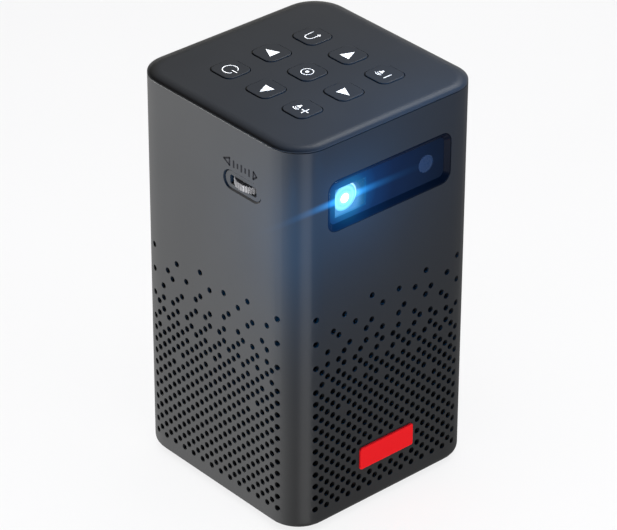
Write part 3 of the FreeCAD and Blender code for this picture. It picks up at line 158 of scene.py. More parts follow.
# %% A finish and its nodes
class Finish:
    """The node graph of one material."""

    def __init__(self, name):
        self.material = bpy.data.materials.new(name)
        self.material.use_nodes = True
        self.tree = self.material.node_tree
        self.tree.nodes.clear()
        self.place = self.node("ShaderNodeTexCoord", output="Object")

    def node(self, kind, settings=None, sockets=None, output=0):
        made = self.tree.nodes.new(kind)
        for name, value in (settings or {}).items():
            if name == "stops":
                for index, (position, shade) in enumerate(value):
                    stops = made.color_ramp.elements
                    stop = stops[index] if index < 2 else stops.new(position)
                    stop.position = position
                    stop.color = shade
            else:
                setattr(made, name, value)
        for name, value in (sockets or {}).items():
            if isinstance(value, Wire):
                self.tree.links.new(value.socket, made.inputs[name])
            else:
                made.inputs[name].default_value = value
        return Wire(self, made.outputs[output] if made.outputs else None)

    def along(self, axis):
        """How far along X, Y or Z, in metres."""
        return self.node("ShaderNodeSeparateXYZ", None, {"Vector": self.place}, axis)

    def vector(self, operation, first, second=(0, 0, 0), output=0):
        settings = {"operation": operation}
        return self.node("ShaderNodeVectorMath", settings, {0: first, 1: second}, output)

    def mix(self, factor, first, second):
        return self.node("ShaderNodeMix", {"data_type": "RGBA"},
                         {0: factor, 6: first, 7: second}, 2)

    def noise(self, size, detail=2.0, place=None):
        """Cloudy noise whose patches are about size millimetres wide."""
        return self.node("ShaderNodeTexNoise", None, {
            "Vector": place or self.place, "Scale": 1 / (size * MM), "Detail": detail})

    def bump(self, height, depth):
        """Surface relief: depth in millimetres where height goes from 0 to 1."""
        return self.node("ShaderNodeBump", None, {"Height": height, "Strength": 1.0,
                                                  "Distance": depth * MM})

    def done(self, sockets, shader="ShaderNodeBsdfPrincipled"):
        surface = self.node(shader, None, sockets)
        self.node("ShaderNodeOutputMaterial", None, {"Surface": surface})
        return self.material


print("a finish has", [name for name in vars(Finish) if not name.startswith("_")])

# %% [markdown]
# Nearly every part of this projector is moulded black plastic. Real mouldings differ by the texture
# eroded into the mould: the sleeve has a fine matt grain, the keys are smoother, the frame of the
# window is polished. Fine noise gives the grain as relief, and cloudy noise changes the gloss a
# little from place to place, so that a highlight breaks up as it does on a handled object. The
# sleeve's broad sheen is a thin, rough coat over a base that doesn't shine.

# %% Moulded plastic
CLOUD = 22.0


def moulded(name, shade, rough, grain, grain_depth, reflection, mottle=0.1, glow=0.0, coat=0.0):
    """Moulded plastic with grain bumps grain millimetres apart and grain_depth deep."""
    finish = Finish(name)
    cloud = finish.noise(CLOUD)
    speck = finish.noise(grain, 3.0)
    darker = tuple(value * (1 - mottle) for value in shade[:3]) + (1.0,)
    lighter = tuple(min(1.0, value * (1 + mottle)) for value in shade[:3]) + (1.0,)
    return finish.done({
        "Base Color": finish.mix(cloud * 0.7 + speck * 0.3, darker, lighter),
        "Roughness": rough + (cloud - 0.5) * 0.12 + (speck - 0.5) * 0.1,
        "Normal": finish.bump(speck, grain_depth),
        "Specular IOR Level": reflection,
        "Emission Color": shade,
        "Emission Strength": glow,
        "Coat Weight": coat,
        "Coat Roughness": 0.35,
    })


sleeve_plastic = moulded("sleeve plastic", (0.0199, 0.02, 0.0201, 1), 0.48, 0.28, 0.012, 0.0,
                         coat=0.2)
key_plastic = moulded("key plastic", (0.040, 0.0402, 0.041, 1), 0.34, 0.2, 0.005, 0.06)
bezel_plastic = moulded("bezel plastic", (0.004, 0.005, 0.009, 1), 0.22, 0.3, 0.002, 0.05)
inner_plastic = moulded("inner plastic", (0.012, 0.012, 0.013, 1), 0.55, 0.5, 0.02, 0.3)
soft_rubber = moulded("rubber", (0.014, 0.014, 0.015, 1), 0.75, 0.4, 0.03, 0.3)
# The red plate's finish also glows faintly in its own red: a painted glow that brightens it.
plate_red = moulded("red plate", (0.73, 0.008, 0.011, 1), 0.3, 0.25, 0.004, 0.03, 0.03, glow=0.02)
white_print = moulded("white print", (0.78, 0.79, 0.80, 1), 0.55, 0.15, 0.002, 0.3, 0.03)
dark_print = moulded("dark print", (0.004, 0.004, 0.0045, 1), 0.6, 0.15, 0.002, 0.03, 0.03)
print("plastics", [material.name for material in bpy.data.materials])

# %% [markdown]
# The cap is moulded with a soft rim. On the real one the shading turns over a broad band, much
# broader than the rim is high, because the surface starts to lean well inside its edge. The mesh
# gives the edge itself, and a relief that follows the distance from the edge adds the slow lean.

# %% Soft rimmed cap
RIM_BAND = 4.4
RIM_LEAN = 2.6
RIM_SHARE = 0.9


def soft_rimmed_cap():
    """Cap plastic whose relief is a quarter round over the band beside the cap's edge."""
    finish = Finish("cap plastic")
    cloud = finish.noise(CLOUD)
    speck = finish.noise(0.2, 3.0)
    beyond = finish.vector("SUBTRACT", finish.vector("ABSOLUTE", finish.place),
                           (STRAIGHT * MM, STRAIGHT * MM, 1.0))
    reach = finish.vector("LENGTH", finish.vector("MAXIMUM", beyond), output="Value") / MM
    inward = (reach - (CORNER - RIM_BAND)) / RIM_BAND
    band = inward.sum_of("MAXIMUM", inward, 0.0)
    lean = (1 - (band * RIM_SHARE) ** 2) ** 0.5 * RIM_LEAN
    return finish.done({
        "Base Color": finish.mix(cloud * 0.7 + speck * 0.3, (0.038, 0.0382, 0.039, 1),
                                 (0.045, 0.0452, 0.046, 1)),
        "Roughness": 0.34 + (cloud - 0.5) * 0.12,
        "Normal": finish.bump(lean + speck * 0.005, 1.0),
        "Specular IOR Level": 0.06,
    })


cap_plastic = soft_rimmed_cap()
print("cap rim leans over", RIM_BAND, "mm")

# %% [markdown]
# The metal parts are turned or milled. A cutting tool leaves fine lines, which are noise squeezed
# along one direction: a Mapping node stretches the coordinates before the noise reads them.

# %% Machined metal
SQUEEZE = (1, 1, 18)


def machined(name, shade, rough):
    """Metal with fine lines that run level round it."""
    finish = Finish(name)
    squeezed = finish.node("ShaderNodeMapping", None, {"Vector": finish.place, "Scale": SQUEEZE})
    lines = finish.noise(1.6, 4.0, squeezed)
    cloud = finish.noise(9.0)
    darker = tuple(value * 0.72 for value in shade[:3]) + (1.0,)
    return finish.done({
        "Base Color": finish.mix(lines * 0.6 + cloud * 0.4, darker, shade),
        "Metallic": 1.0,
        "Roughness": rough + (lines - 0.5) * 0.2,
        "Normal": finish.bump(lines, 0.01),
    })


silver = machined("machined aluminium", (0.80, 0.81, 0.82, 1), 0.32)
dark_anodised = machined("black anodised aluminium", (0.030, 0.030, 0.034, 1), 0.45)
plated_steel = machined("plated steel", (0.60, 0.60, 0.59, 1), 0.36)
screw_black = machined("black screw steel", (0.06, 0.06, 0.065, 1), 0.4)
turned_brass = machined("turned brass", (0.72, 0.50, 0.22, 1), 0.3)
print("metals", [metal.name for metal in
                 (silver, dark_anodised, plated_steel, screw_black, turned_brass)])

# %% [markdown]
# Circuit boards are green lacquer over copper tracks, and the cloth behind the grille is woven.
# Both are regular patterns, so they come from pattern nodes and not from noise. The edges of
# Voronoi cells, measured along the axes, make tracks that turn at right angles, and the middles of
# larger cells make tinned pads. A wave across and a sine upwards make the threads of the cloth.

# %% Circuit board and woven cloth
THREAD = 0.45


def circuit_board():
    finish = Finish("circuit board")
    tracks = finish.node("ShaderNodeTexVoronoi",
                         {"feature": "DISTANCE_TO_EDGE", "distance": "CHEBYCHEV"},
                         {"Vector": finish.place, "Scale": 1 / (4.2 * MM)})
    copper = tracks < 0.055
    pads = finish.node("ShaderNodeTexVoronoi", None,
                       {"Vector": finish.place, "Scale": 1 / (5.5 * MM)})
    tinned = pads < 0.16
    lacquer = finish.mix(copper, (0.008, 0.055, 0.022, 1), (0.02, 0.13, 0.045, 1))
    return finish.done({
        "Base Color": finish.mix(tinned, lacquer, (0.55, 0.55, 0.52, 1)),
        "Metallic": tinned,
        "Roughness": 0.32 + finish.noise(3.0) * 0.15,
        "Normal": finish.bump(copper + tinned, 0.03),
    })


def woven_cloth():
    finish = Finish("grille cloth")
    across = finish.node("ShaderNodeTexWave", {"bands_direction": "DIAGONAL"},
                         {"Vector": finish.place, "Scale": 320.0})
    upward = finish.node("ShaderNodeMath", {"operation": "SINE"},
                         {0: finish.along("Z") * (2 * pi / (THREAD * MM))})
    weave = across * 0.5 + upward * 0.25 + 0.25
    return finish.done({
        "Base Color": finish.mix(weave, (0.003, 0.003, 0.003, 1), (0.010, 0.010, 0.011, 1)),
        "Roughness": 0.85 + weave * 0.1,
        "Normal": finish.bump(weave, 0.08),
        "Specular IOR Level": 0.1,
    })


board_green = circuit_board()
cloth_black = woven_cloth()
print("nodes in the board's finish", len(board_green.node_tree.nodes))

# %% [markdown]
# Three more finishes are seen only when the projector is open. The flat cable to the keypad shows
# its parallel wires, the loudspeaker's cone is pressed paper with loose fibres, and the cells wear
# shrink sleeves that are creased and have a pale band printed at one height.

# %% Flat cable, paper cone and cell sleeves
BAND_LOW, BAND_HIGH = 0.052, 0.058


def flat_cable():
    finish = Finish("flat cable")
    wires = finish.node("ShaderNodeTexWave", {"bands_direction": "X"},
                        {"Vector": finish.place, "Scale": 314.0})
    return finish.done({
        "Base Color": finish.mix(wires, (0.62, 0.63, 0.64, 1), (0.32, 0.33, 0.35, 1)),
        "Roughness": 0.35 + wires * 0.2,
        "Normal": finish.bump(wires, 0.05),
    })


def pressed_paper():
    finish = Finish("paper cone")
    fibres = finish.noise(0.5, 6.0)
    blots = finish.noise(4.0)
    return finish.done({
        "Base Color": finish.mix(blots, (0.018, 0.017, 0.016, 1), (0.045, 0.043, 0.040, 1)),
        "Roughness": 0.8 + fibres * 0.15,
        "Normal": finish.bump(fibres, 0.05),
    })


def shrink_sleeve():
    finish = Finish("cell sleeve")
    height = finish.along("Z")
    band = (height > BAND_LOW) * (height < BAND_HIGH)
    creases = finish.noise(2.0, 3.0)
    return finish.done({
        "Base Color": finish.mix(band, (0.02, 0.10, 0.30, 1), (0.70, 0.72, 0.74, 1)),
        "Roughness": 0.28 + creases * 0.15,
        "Normal": finish.bump(creases, 0.03),
    })


ribbon_grey = flat_cable()
cone_paper = pressed_paper()
cell_blue = shrink_sleeve()
print("finishes so far", len(bpy.data.materials))

# %% [markdown]
# The rear lens has a purple coating. The lit front lens shines blue white, brightest at its middle,
# with rings where its domed face bends the light. Rings could be painted on a flat map of the lens,
# but a ramp read by the distance from the middle needs no map and stays sharp at any size.

# %% Lens glass
LENS_X, LENS_RADIUS = -17.2, 5.45
WINDOW_Z = 124.15


def distance_from(finish, x, z):
    """How far, in millimetres, a point of a front piece is from (x, z)."""
    flat = finish.vector("MULTIPLY", finish.place, (1 / MM, 0, 1 / MM))
    return finish.vector("DISTANCE", flat, (x, 0, z), "Value")


def coated_lens():
    finish = Finish("coated lens")
    cloud = finish.noise(6.0)
    return finish.done({
        "Base Color": finish.mix(cloud, (0.05, 0.04, 0.12, 1), (0.09, 0.07, 0.16, 1)),
        "Roughness": 0.03 + cloud * 0.03,
        "Specular IOR Level": 0.8,
    })


def lit_lens_glass():
    finish = Finish("lit lens glass")
    away = distance_from(finish, LENS_X - 0.2, WINDOW_Z - 0.4)
    glow = finish.node("ShaderNodeValToRGB", {"stops": [
        (0.0, (1.0, 1.0, 1.0, 1)), (0.18, (0.45, 0.80, 1.0, 1)), (0.32, (0.012, 0.026, 0.030, 1)),
        (0.52, (0.006, 0.018, 0.025, 1)), (0.70, (0.010, 0.025, 0.029, 1)),
        (0.86, (0.003, 0.014, 0.023, 1)), (0.93, (0.022, 0.031, 0.033, 1)),
        (1.0, (0.010, 0.020, 0.026, 1))]}, {0: away / LENS_RADIUS})
    return finish.done({
        "Base Color": (0.02, 0.04, 0.10, 1),
        "Roughness": 0.04 + finish.noise(5.0) * 0.03,
        "Emission Color": glow,
        "Emission Strength": 40.0,
    })


lens_coated = coated_lens()
lens_lit = lit_lens_glass()
print("lens finishes", lens_coated.name, "and", lens_lit.name)

# %% [markdown]
# The window's pane is dark tinted, with one clear square before the lens and a greyer disc before
# the sensor. Only the square lets much light through, so the pane's alpha falls there. Close to the
# lens the pane and its frame catch a blue haze. The haze could be left to the lamps, but the pane
# is too dark to show what they throw on it, so both glow a little, less with each millimetre.

# %% Tinted pane
CLEAR_LEFT, CLEAR_RIGHT, CLEAR_LOW, CLEAR_HIGH = -22.75, -9.4, 118.9, 129.2
SENSOR_X, SENSOR_RADIUS = 16.9, 3.15
HAZE_REACH = 50


def blue_haze(finish):
    """Light of the lens scattered in the pane and on its frame, by distance from the lens."""
    return finish.node("ShaderNodeValToRGB", {"stops": [
        (0.0, (0.008, 0.16, 0.38, 1)), (0.12, (0.006, 0.11, 0.28, 1)),
        (0.18, (0.002, 0.045, 0.16, 1)), (0.25, (0.001, 0.020, 0.08, 1)),
        (0.4, (0.001, 0.009, 0.036, 1)), (0.75, (0.0, 0.004, 0.014, 1)),
        (1.0, (0.0, 0.001, 0.003, 1))]},
        {0: distance_from(finish, LENS_X, WINDOW_Z) / HAZE_REACH})


def tinted_pane():
    finish = Finish("tinted pane")
    side, height = finish.along("X") / MM, finish.along("Z") / MM
    clear = ((side > CLEAR_LEFT) * (side < CLEAR_RIGHT)
             * (height > CLEAR_LOW) * (height < CLEAR_HIGH))
    sensor = distance_from(finish, SENSOR_X, WINDOW_Z) < SENSOR_RADIUS
    smoke = finish.noise(11.0)
    # The clear square glows blue, brightest near the lens: a painted glow of the lens's light in
    # the pane.
    square_glow = finish.node("ShaderNodeValToRGB", {"stops": [
        (0.0, (0.24, 0.95, 2.0, 1)), (0.58, (0.20, 0.85, 1.8, 1)),
        (0.8, (0.05, 0.36, 0.85, 1)), (1.0, (0.03, 0.25, 0.65, 1))]},
        {0: distance_from(finish, LENS_X - 1.2, WINDOW_Z - 1.6) / 10})
    tint = finish.mix(smoke, (0.002, 0.003, 0.006, 1), (0.004, 0.006, 0.011, 1))
    return finish.done({
        "Base Color": finish.mix(sensor, tint, (0.026, 0.036, 0.056, 1)),
        "Roughness": 0.05 + smoke * 0.02 + sensor * 0.3,
        "Alpha": 1 - clear * 0.8 - sensor * 0.2,
        "Emission Color": finish.mix(clear, blue_haze(finish), square_glow),
        "Emission Strength": 1.0,
        "Specular IOR Level": 0.02,
    })


def hazed_bezel():
    finish = Finish("bezel beside the lens")
    speck = finish.noise(0.3, 3.0)
    return finish.done({
        "Base Color": finish.mix(speck, (0.001, 0.001, 0.002, 1), (0.003, 0.003, 0.005, 1)),
        "Roughness": 0.2 + speck * 0.1,
        "Normal": finish.bump(speck, 0.002),
        "Emission Color": blue_haze(finish),
        "Emission Strength": 0.5,
        "Specular IOR Level": 0.02,
    })


bezel_lit = hazed_bezel()
pane_tint = tinted_pane()
print("finishes", len(bpy.data.materials))

# %% [markdown]
# Most pieces here are stacks of rounded rectangles: a key, the cap, the window frame, a plate. One
# flat quad whose corners are bevelled gives such an outline, and bridging a stack of them gives the
# walls. Two outlines at one height can be bridged crosswise, so they are bridged while they stand
# well apart and moved to their heights afterwards. A ring stack ends where it began.

# %% Rounded outlines and stacks of them
APART = 9


def outline(bm, width, tall, radius, z=0.0, x=0.0, y=0.0, steps=6):
    """A flat face with rounded corners, centred on (x, y, z)."""
    corners = bmesh.ops.create_grid(bm, x_segments=1, y_segments=1, size=0.5)["verts"]
    bmesh.ops.scale(bm, vec=(width, tall, 1), verts=corners)
    bmesh.ops.translate(bm, vec=(x, y, z), verts=corners)
    arcs = bmesh.ops.bevel(bm, geom=corners, offset=radius, offset_type="OFFSET", segments=steps,
                           profile=0.5, affect="VERTICES", material=-1)
    return arcs["verts"][0].link_faces[0]


def stack(bm, levels, ring=False, x=0.0, y=0.0, steps=6):
    """Walls through outlines given as (width, tall, radius, z)."""
    faces = [outline(bm, width, tall, radius, APART * index, x, y, steps)
             for index, (width, tall, radius, z) in enumerate(levels)]
    loops = [face.edges[:] for face in faces]
    rims = [face.verts[:] for face in faces]
    spare = faces if ring else faces[1:-1]
    bmesh.ops.delete(bm, geom=spare, context="FACES_ONLY")
    for low, high in zip(loops, loops[1:] + (loops[:1] if ring else [])):
        bmesh.ops.bridge_loops(bm, edges=low + high)
    for index, level in enumerate(levels):
        bmesh.ops.translate(bm, vec=(0, 0, level[3] - APART * index), verts=rims[index])
    return loops


def rounded_over(width, tall, radius, edge, top, turns):
    """Levels of a stack whose top edge is a quarter round, edge millimetres wide."""
    return [(width - 2 * edge * (1 - cos(turn)), tall - 2 * edge * (1 - cos(turn)),
             radius - edge * (1 - cos(turn)), top - edge * (1 - sin(turn)))
            for turn in map(radians, turns)]


trial = bmesh.new()
key_outline = outline(trial, 10.8, 10.8, 2.8)
print("a key is", round(sum(line.calc_length() for line in key_outline.edges), 1), "mm round")
trial.free()

# %% [markdown]
# Every piece ends the same way: doubles merged, faces turned outwards, edges marked sharp where two
# faces meet at a real corner, and the mesh brought to metres with its object left at the origin.
# Then it rides on its body, and the CAD nodes that it stands for are hidden.

# %% Finish a piece
SAME_PLACE = 0.002
REAL_CORNER = radians(32)


def make_piece(bm, name, body, finish, stands_for=(), edge=0.0):
    bmesh.ops.remove_doubles(bm, verts=bm.verts[:], dist=SAME_PLACE)
    bmesh.ops.recalc_face_normals(bm, faces=bm.faces[:])
    for face in bm.faces:
        face.smooth = True
    for line in bm.edges:
        line.smooth = len(line.link_faces) == 2 and line.calc_face_angle(0) < REAL_CORNER
    bmesh.ops.scale(bm, vec=(MM, MM, MM), verts=bm.verts[:])
    mesh = bpy.data.meshes.new(name)
    bm.to_mesh(mesh)
    loose = sum(len(line.link_faces) != 2 for line in bm.edges)
    bm.free()
    mesh.materials.append(finish)
    piece = bpy.data.objects.new(name, mesh)
    bpy.context.scene.collection.objects.link(piece)
    if edge:
        rounding = piece.modifiers.new("edges", "BEVEL")
        rounding.width = edge * MM
        rounding.segments = 2
        rounding.limit_method = "ANGLE"
        rounding.angle_limit = radians(40)
        rounding.harden_normals = True
    else:
        piece.modifiers.new("shading", "WEIGHTED_NORMAL").keep_sharp = True
    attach(piece, body)
    if stands_for:
        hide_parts(*stands_for)
    print(name, len(mesh.polygons), "faces,", loose, "open edges")
    return piece


def face_front(bm):
    """Turn work drawn flat, x across and y up, so that it faces the front at its depth."""
    bmesh.ops.rotate(bm, cent=(0, 0, 0), matrix=Matrix.Rotation(radians(90), 3, "X"),
                     verts=bm.verts[:])


print("edges that turn more than", round(degrees(REAL_CORNER)), "degrees stay sharp")

# %% [markdown]
# The sleeve is one punched tube with rounded corners. It could be carved from a block with a
# boolean for every hole, which leaves poor faces. A sheet metal worker's way is cleaner: cut one
# flat sheet as long as all four sides, punch it while it is flat, give it its wall, and roll it up
# last. The sheet's x runs round the body, its y runs up the wall, and its ends meet in the middle
# of the front left corner. The cells are the grille's own: one for each hole and each gap.

# %% Cut the flat sheet into cells
SIDE_RUN = 2 * STRAIGHT + CORNER * pi / 2
COLUMNS, ROWS = 27, 33
COLUMN, ROW, FIRST_ROW = 2.42, 2.34, 9.3
CORNER_CELL = 1.101
FOOT_BEND, FOOT_START, FOOT_LIP = 2.8, 4.6, 3.1
TOP_BEND, TOP_START = 0.12, 146.78
WINDOW_CELLS = (-27.83, 113.75), (27.83, 134.55)
DISH_CELLS = (3.63, 122.2), (25.41, 131.1)
PORT_CELLS = (-27.83, 12.81), (-10.89, 71.31)
sheet_low = FOOT_START - FOOT_BEND * pi / 2 - FOOT_LIP
sheet_high = TOP_START + TOP_BEND * pi / 2


def cut(bm, spot, direction):
    bmesh.ops.bisect_plane(bm, geom=bm.verts[:] + bm.edges[:] + bm.faces[:], dist=1e-4,
                           plane_co=spot, plane_no=direction)


sheet = bmesh.new()
corners = bmesh.ops.create_grid(sheet, x_segments=1, y_segments=1, size=0.5)["verts"]
bmesh.ops.scale(sheet, vec=(4 * SIDE_RUN, sheet_high - sheet_low, 1), verts=corners)
bmesh.ops.translate(sheet, vec=(1.5 * SIDE_RUN, (sheet_high + sheet_low) / 2, 0), verts=corners)
edge_of_grille = COLUMNS / 2 * COLUMN
across = [(i - COLUMNS / 2) * COLUMN for i in range(COLUMNS + 1)]
across += [sign * (edge_of_grille + CORNER_CELL * i) for sign in (-1, 1) for i in range(1, 6)]
for side in range(4):
    for spot in across:
        cut(sheet, (side * SIDE_RUN + spot, 0, 0), (1, 0, 0))
heights = [FIRST_ROW + (row - 0.5) * ROW for row in range(ROWS + 1)]
heights += [FOOT_START - FOOT_BEND * radians(15 * i) for i in range(7)]
heights += [TOP_START, TOP_START + TOP_BEND * radians(30), TOP_START + TOP_BEND * radians(60)]
heights += [corner[1] for corner in WINDOW_CELLS + DISH_CELLS]
for height in heights:
    cut(sheet, (0, height, 0), (0, 1, 0))
print("sheet", round(4 * SIDE_RUN, 1), "mm long in", len(sheet.faces), "cells")

# %% [markdown]
# The grille's holes sit in every second cell, like a chessboard. Towards the top the rows thin out
# until only single holes are left, which is the projector's one ornament. Rows that thin out are
# written as text, an o for a hole, so that they can be compared with the real thing by eye. No hole
# is punched under the front plate or inside the rear panel's opening.

# %% Which cells are punched
THINNING = {
    32: "o....o....o..o", 31: "..o....o.....", 30: "......o..o..o.", 29: ".o.o......o..",
    28: "o.o..o..o.o..o", 27: "....o..o...o.", 26: ".o.o..o..o..o.", 25: "..o.oo.o.oo..",
    24: "ooo.o.oo.o.ooo", 23: "o.oo.o.oo.o.o", 22: ".oo.oo.oooooo.", 21: "ooooooo.oo.oo",
    20: "o.oo.oooo.oo.o", 18: "oooooo.ooooooo", 15: "oo.ooooooo.oo",
}
FRONT, REAR, LEFT = 0, 2, 3
PLATE_Z, PLATE_MARGIN = 21.2, (13.8, 6.05)
PORT_X, PORT_Z, PORT_MARGIN = 18.7, 42.0, (9.25, 30.75)


def is_punched(side, column, row):
    if not (0 <= column < COLUMNS and 0 <= row < ROWS) or (column + row) % 2:
        return False
    if row in THINNING and THINNING[row][column // 2] != "o":
        return False
    x, z = (column - COLUMNS // 2) * COLUMN, FIRST_ROW + row * ROW
    under_plate = (side == FRONT and abs(x) < PLATE_MARGIN[0]
                   and abs(z - PLATE_Z) < PLATE_MARGIN[1])
    at_ports = (side == REAR and abs(x + PORT_X) < PORT_MARGIN[0]
                and abs(z - PORT_Z) < PORT_MARGIN[1])
    return not (under_plate or at_ports)


print("holes on the front", sum(is_punched(FRONT, column, row)
                                for column in range(COLUMNS) for row in range(ROWS)))

# %% [markdown]
# A round hole in a square cell needs points round the square first: each edge is split in three,
# the cell is inset, and the twelve inset points are drawn in to a circle. The neighbours keep flat
# faces and share the new points, so the sheet stays in one piece.

# %% Punch the grille
HOLE = 1.15
punched = {}
for face in sheet.faces:
    middle = face.calc_center_median()
    side = round(middle.x / SIDE_RUN)
    column = round((middle.x - side * SIDE_RUN) / COLUMN + COLUMNS // 2)
    row = round((middle.y - FIRST_ROW) / ROW)
    spot = Vector((side * SIDE_RUN + (column - COLUMNS // 2) * COLUMN, FIRST_ROW + row * ROW, 0))
    if is_punched(side, column, row) and (middle - spot).length < 0.05:
        punched[face] = spot
bmesh.ops.bisect_edges(sheet, edges=list({line for face in punched for line in face.edges}), cuts=2)
bmesh.ops.inset_individual(sheet, faces=list(punched), thickness=0.08)
for face, spot in punched.items():
    for point in face.verts:
        turn = degrees(atan2(point.co.y - spot.y, point.co.x - spot.x))
        turn = radians(30 * round((turn - 15) / 30) + 15)
        point.co = spot + HOLE * Vector((cos(turn), sin(turn), 0))
bmesh.ops.delete(sheet, geom=list(punched), context="FACES_ONLY")
print("holes", len(punched), "faces", len(sheet.faces))

# %% [markdown]
# Three larger openings are cut in one way: the window at the front, the dish round the focus wheel
# on the left and the port panel at the rear. A block of cells is taken out and filled again round
# rounded outlines. The dish has three outlines more inside its rim, for a groove that draws its
# dark edge, for its floor and for its slot.

# %% Cut the window, the dish and the port opening
def open_patch(bm, side, low, high, rounded):
    """Replace the cells between low and high by a flat ring round the given outlines."""
    start = side * SIDE_RUN
    patch = [face for face in bm.faces
             if start + low[0] < face.calc_center_median().x < start + high[0]
             and low[1] < face.calc_center_median().y < high[1]]
    inside = set(patch)
    rim = [line for face in patch for line in face.edges
           if sum(other in inside for other in line.link_faces) == 1]
    bmesh.ops.delete(bm, geom=patch, context="FACES")
    loops = []
    for depth, (width, tall, radius, x, z) in enumerate(rounded):
        plate = outline(bm, width, tall, radius, -APART * depth, start + x, z)
        loops.append(plate.edges[:])
        bmesh.ops.delete(bm, geom=[plate], context="FACES_ONLY")
    ring = bmesh.ops.triangle_fill(bm, use_beauty=True, edges=rim + loops[0])["geom"]
    for outer, inner in zip(loops, loops[1:]):
        ring += bmesh.ops.bridge_loops(bm, edges=outer + inner)["faces"]
    for point in {point for loop in loops for line in loop for point in line.verts}:
        point.co.z = 0
    ring = [face for face in ring if isinstance(face, bmesh.types.BMFace)]
    bmesh.ops.recalc_face_normals(bm, faces=ring)
    bmesh.ops.reverse_faces(bm, faces=[face for face in ring if face.normal.z < 0])
    return loops


DISH_Y, WHEEL_Z = -14.7, 126.65
GROOVE_DEPTH, DISH_DEPTH = 1.2, 0.55
open_patch(sheet, FRONT, *WINDOW_CELLS, [(54.0, 19.1, 4.0, 0, WINDOW_Z)])
open_patch(sheet, REAR, *PORT_CELLS, [(15.0, 58.0, 2.0, -PORT_X, PORT_Z)])
dish_loops = open_patch(sheet, LEFT, *DISH_CELLS, [
    (18.8, 7.3, 3.64, -DISH_Y, WHEEL_Z), (18.3, 6.8, 3.39, -DISH_Y, WHEEL_Z),
    (17.6, 6.1, 3.04, -DISH_Y, WHEEL_Z), (13.04, 3.4, 0.8, -DISH_Y, WHEEL_Z)])
pressed = [(list({point for line in loop for point in line.verts}), depth)
           for loop, depth in zip(dish_loops[1:], (GROOVE_DEPTH, DISH_DEPTH, DISH_DEPTH))]
print("outlines cut; the dish will be pressed in", len(pressed), "steps")

# %% [markdown]
# Solidify gives the sheet its wall while everything is flat, so that every hole is drilled
# straight. Pressing the dish comes after it: only the outer skin moves. Rolling is then one rule
# for a point's place on the tube, from how far round, how high and how deep in the wall it is. The
# same rule turns the foot in and softens the upper edge.

# %% Give the sheet its wall and roll it
bmesh.ops.solidify(sheet, geom=sheet.faces[:], thickness=WALL)
for points, depth in pressed:
    bmesh.ops.translate(sheet, vec=(0, 0, -depth), verts=points)
ends = (-SIDE_RUN / 2, 3.5 * SIDE_RUN)
seam = [face for face in sheet.faces
        if any(all(abs(point.co.x - end) < 1e-3 for point in face.verts) for end in ends)]
bmesh.ops.delete(sheet, geom=seam, context="FACES")


def rolled(x, height, inward):
    side = round(x / SIDE_RUN)
    x -= side * SIDE_RUN
    depth = inward
    if height < FOOT_START:
        turn = min((FOOT_START - height) / FOOT_BEND, pi / 2)
        depth = FOOT_BEND - (FOOT_BEND - inward) * cos(turn)
        depth += max(0, FOOT_START - height - FOOT_BEND * pi / 2)
        height = FOOT_START - (FOOT_BEND - inward) * sin(turn)
    elif height > TOP_START:
        turn = min((height - TOP_START) / TOP_BEND, pi / 2)
        height = TOP_START + TOP_BEND * sin(turn)
        if inward < TOP_BEND:
            depth = TOP_BEND - (TOP_BEND - inward) * cos(turn)
    place = Vector((x, depth - HALF, height))
    if abs(x) > STRAIGHT:
        turn = (abs(x) - STRAIGHT) / CORNER
        place.x = STRAIGHT + (CORNER - depth) * sin(turn)
        place.y = -STRAIGHT - (CORNER - depth) * cos(turn)
        place.x = place.x if x > 0 else -place.x
    return Matrix.Rotation(radians(90 * side), 3, "Z") @ place


for point in sheet.verts:
    point.co = rolled(point.co.x, point.co.y, -point.co.z)
make_piece(sheet, "punched_sleeve", "housing", sleeve_plastic, ["body_sleeve"])

# %% [markdown]
# The cap is a shallow lid on the sleeve. Its rim falls away in a quarter of an ellipse, wider than
# it is tall, which is what gives the soft line round the top, and a narrow step under the rim
# leaves a dark joint between the two parts. Its stack of outlines is closed, then the top and the
# underside are filled again round nine key openings.

# %% Keypad cap
KEYS = {
    "power": (-1, 1), "down": (0, 1), "return": (1, 1),
    "right": (-1, 0), "select": (0, 0), "left": (1, 0),
    "volume_up": (-1, -1), "up": (0, -1), "volume_down": (1, -1),
}
KEY_PITCH = 17.85
KEY_HOLE, KEY_HOLE_CORNER = 11.4, 3.1
CAP_LOW, SLEEVE_TOP, RIM_LOW, CAP_TOP = 145.6, 146.9, 147.15, 148.0
PLUG, JOINT, LIP = 2.15, 0.75, 0.05
RIM_FALL = 0.75
cap = bmesh.new()


def cap_outline(inset, height):
    return (BODY - 2 * inset, BODY - 2 * inset, CORNER - inset, height)


levels = [cap_outline(PLUG, CAP_LOW), cap_outline(PLUG, SLEEVE_TOP),
          cap_outline(JOINT, SLEEVE_TOP), cap_outline(JOINT, RIM_LOW), cap_outline(LIP, RIM_LOW)]
levels += [cap_outline(RIM_BAND * (1 - cos(radians(9 * i))),
                       CAP_TOP - RIM_FALL + RIM_FALL * sin(radians(9 * i))) for i in range(11)]
loops = stack(cap, levels, steps=12)
for loop in (loops[0], loops[-1]):
    lid = [face for face in loop[0].link_faces if len(face.verts) > 4]
    bmesh.ops.delete(cap, geom=lid, context="FACES_ONLY")
openings = []
for column, row in KEYS.values():
    pair = [outline(cap, KEY_HOLE, KEY_HOLE, KEY_HOLE_CORNER, height,
                    column * KEY_PITCH, row * KEY_PITCH) for height in (CAP_LOW, CAP_TOP)]
    low, high = (face.edges[:] for face in pair)
    bmesh.ops.delete(cap, geom=pair, context="FACES_ONLY")
    bmesh.ops.bridge_loops(cap, edges=low + high)
    openings.append((low, high))
for end, loop in ((0, loops[0]), (1, loops[-1])):
    rims = [line for pair in openings for line in pair[end]]
    bmesh.ops.triangle_fill(cap, use_beauty=True, edges=loop + rims)
cap_piece = make_piece(cap, "keypad_cap", "housing", cap_plastic, ["top_cap"])

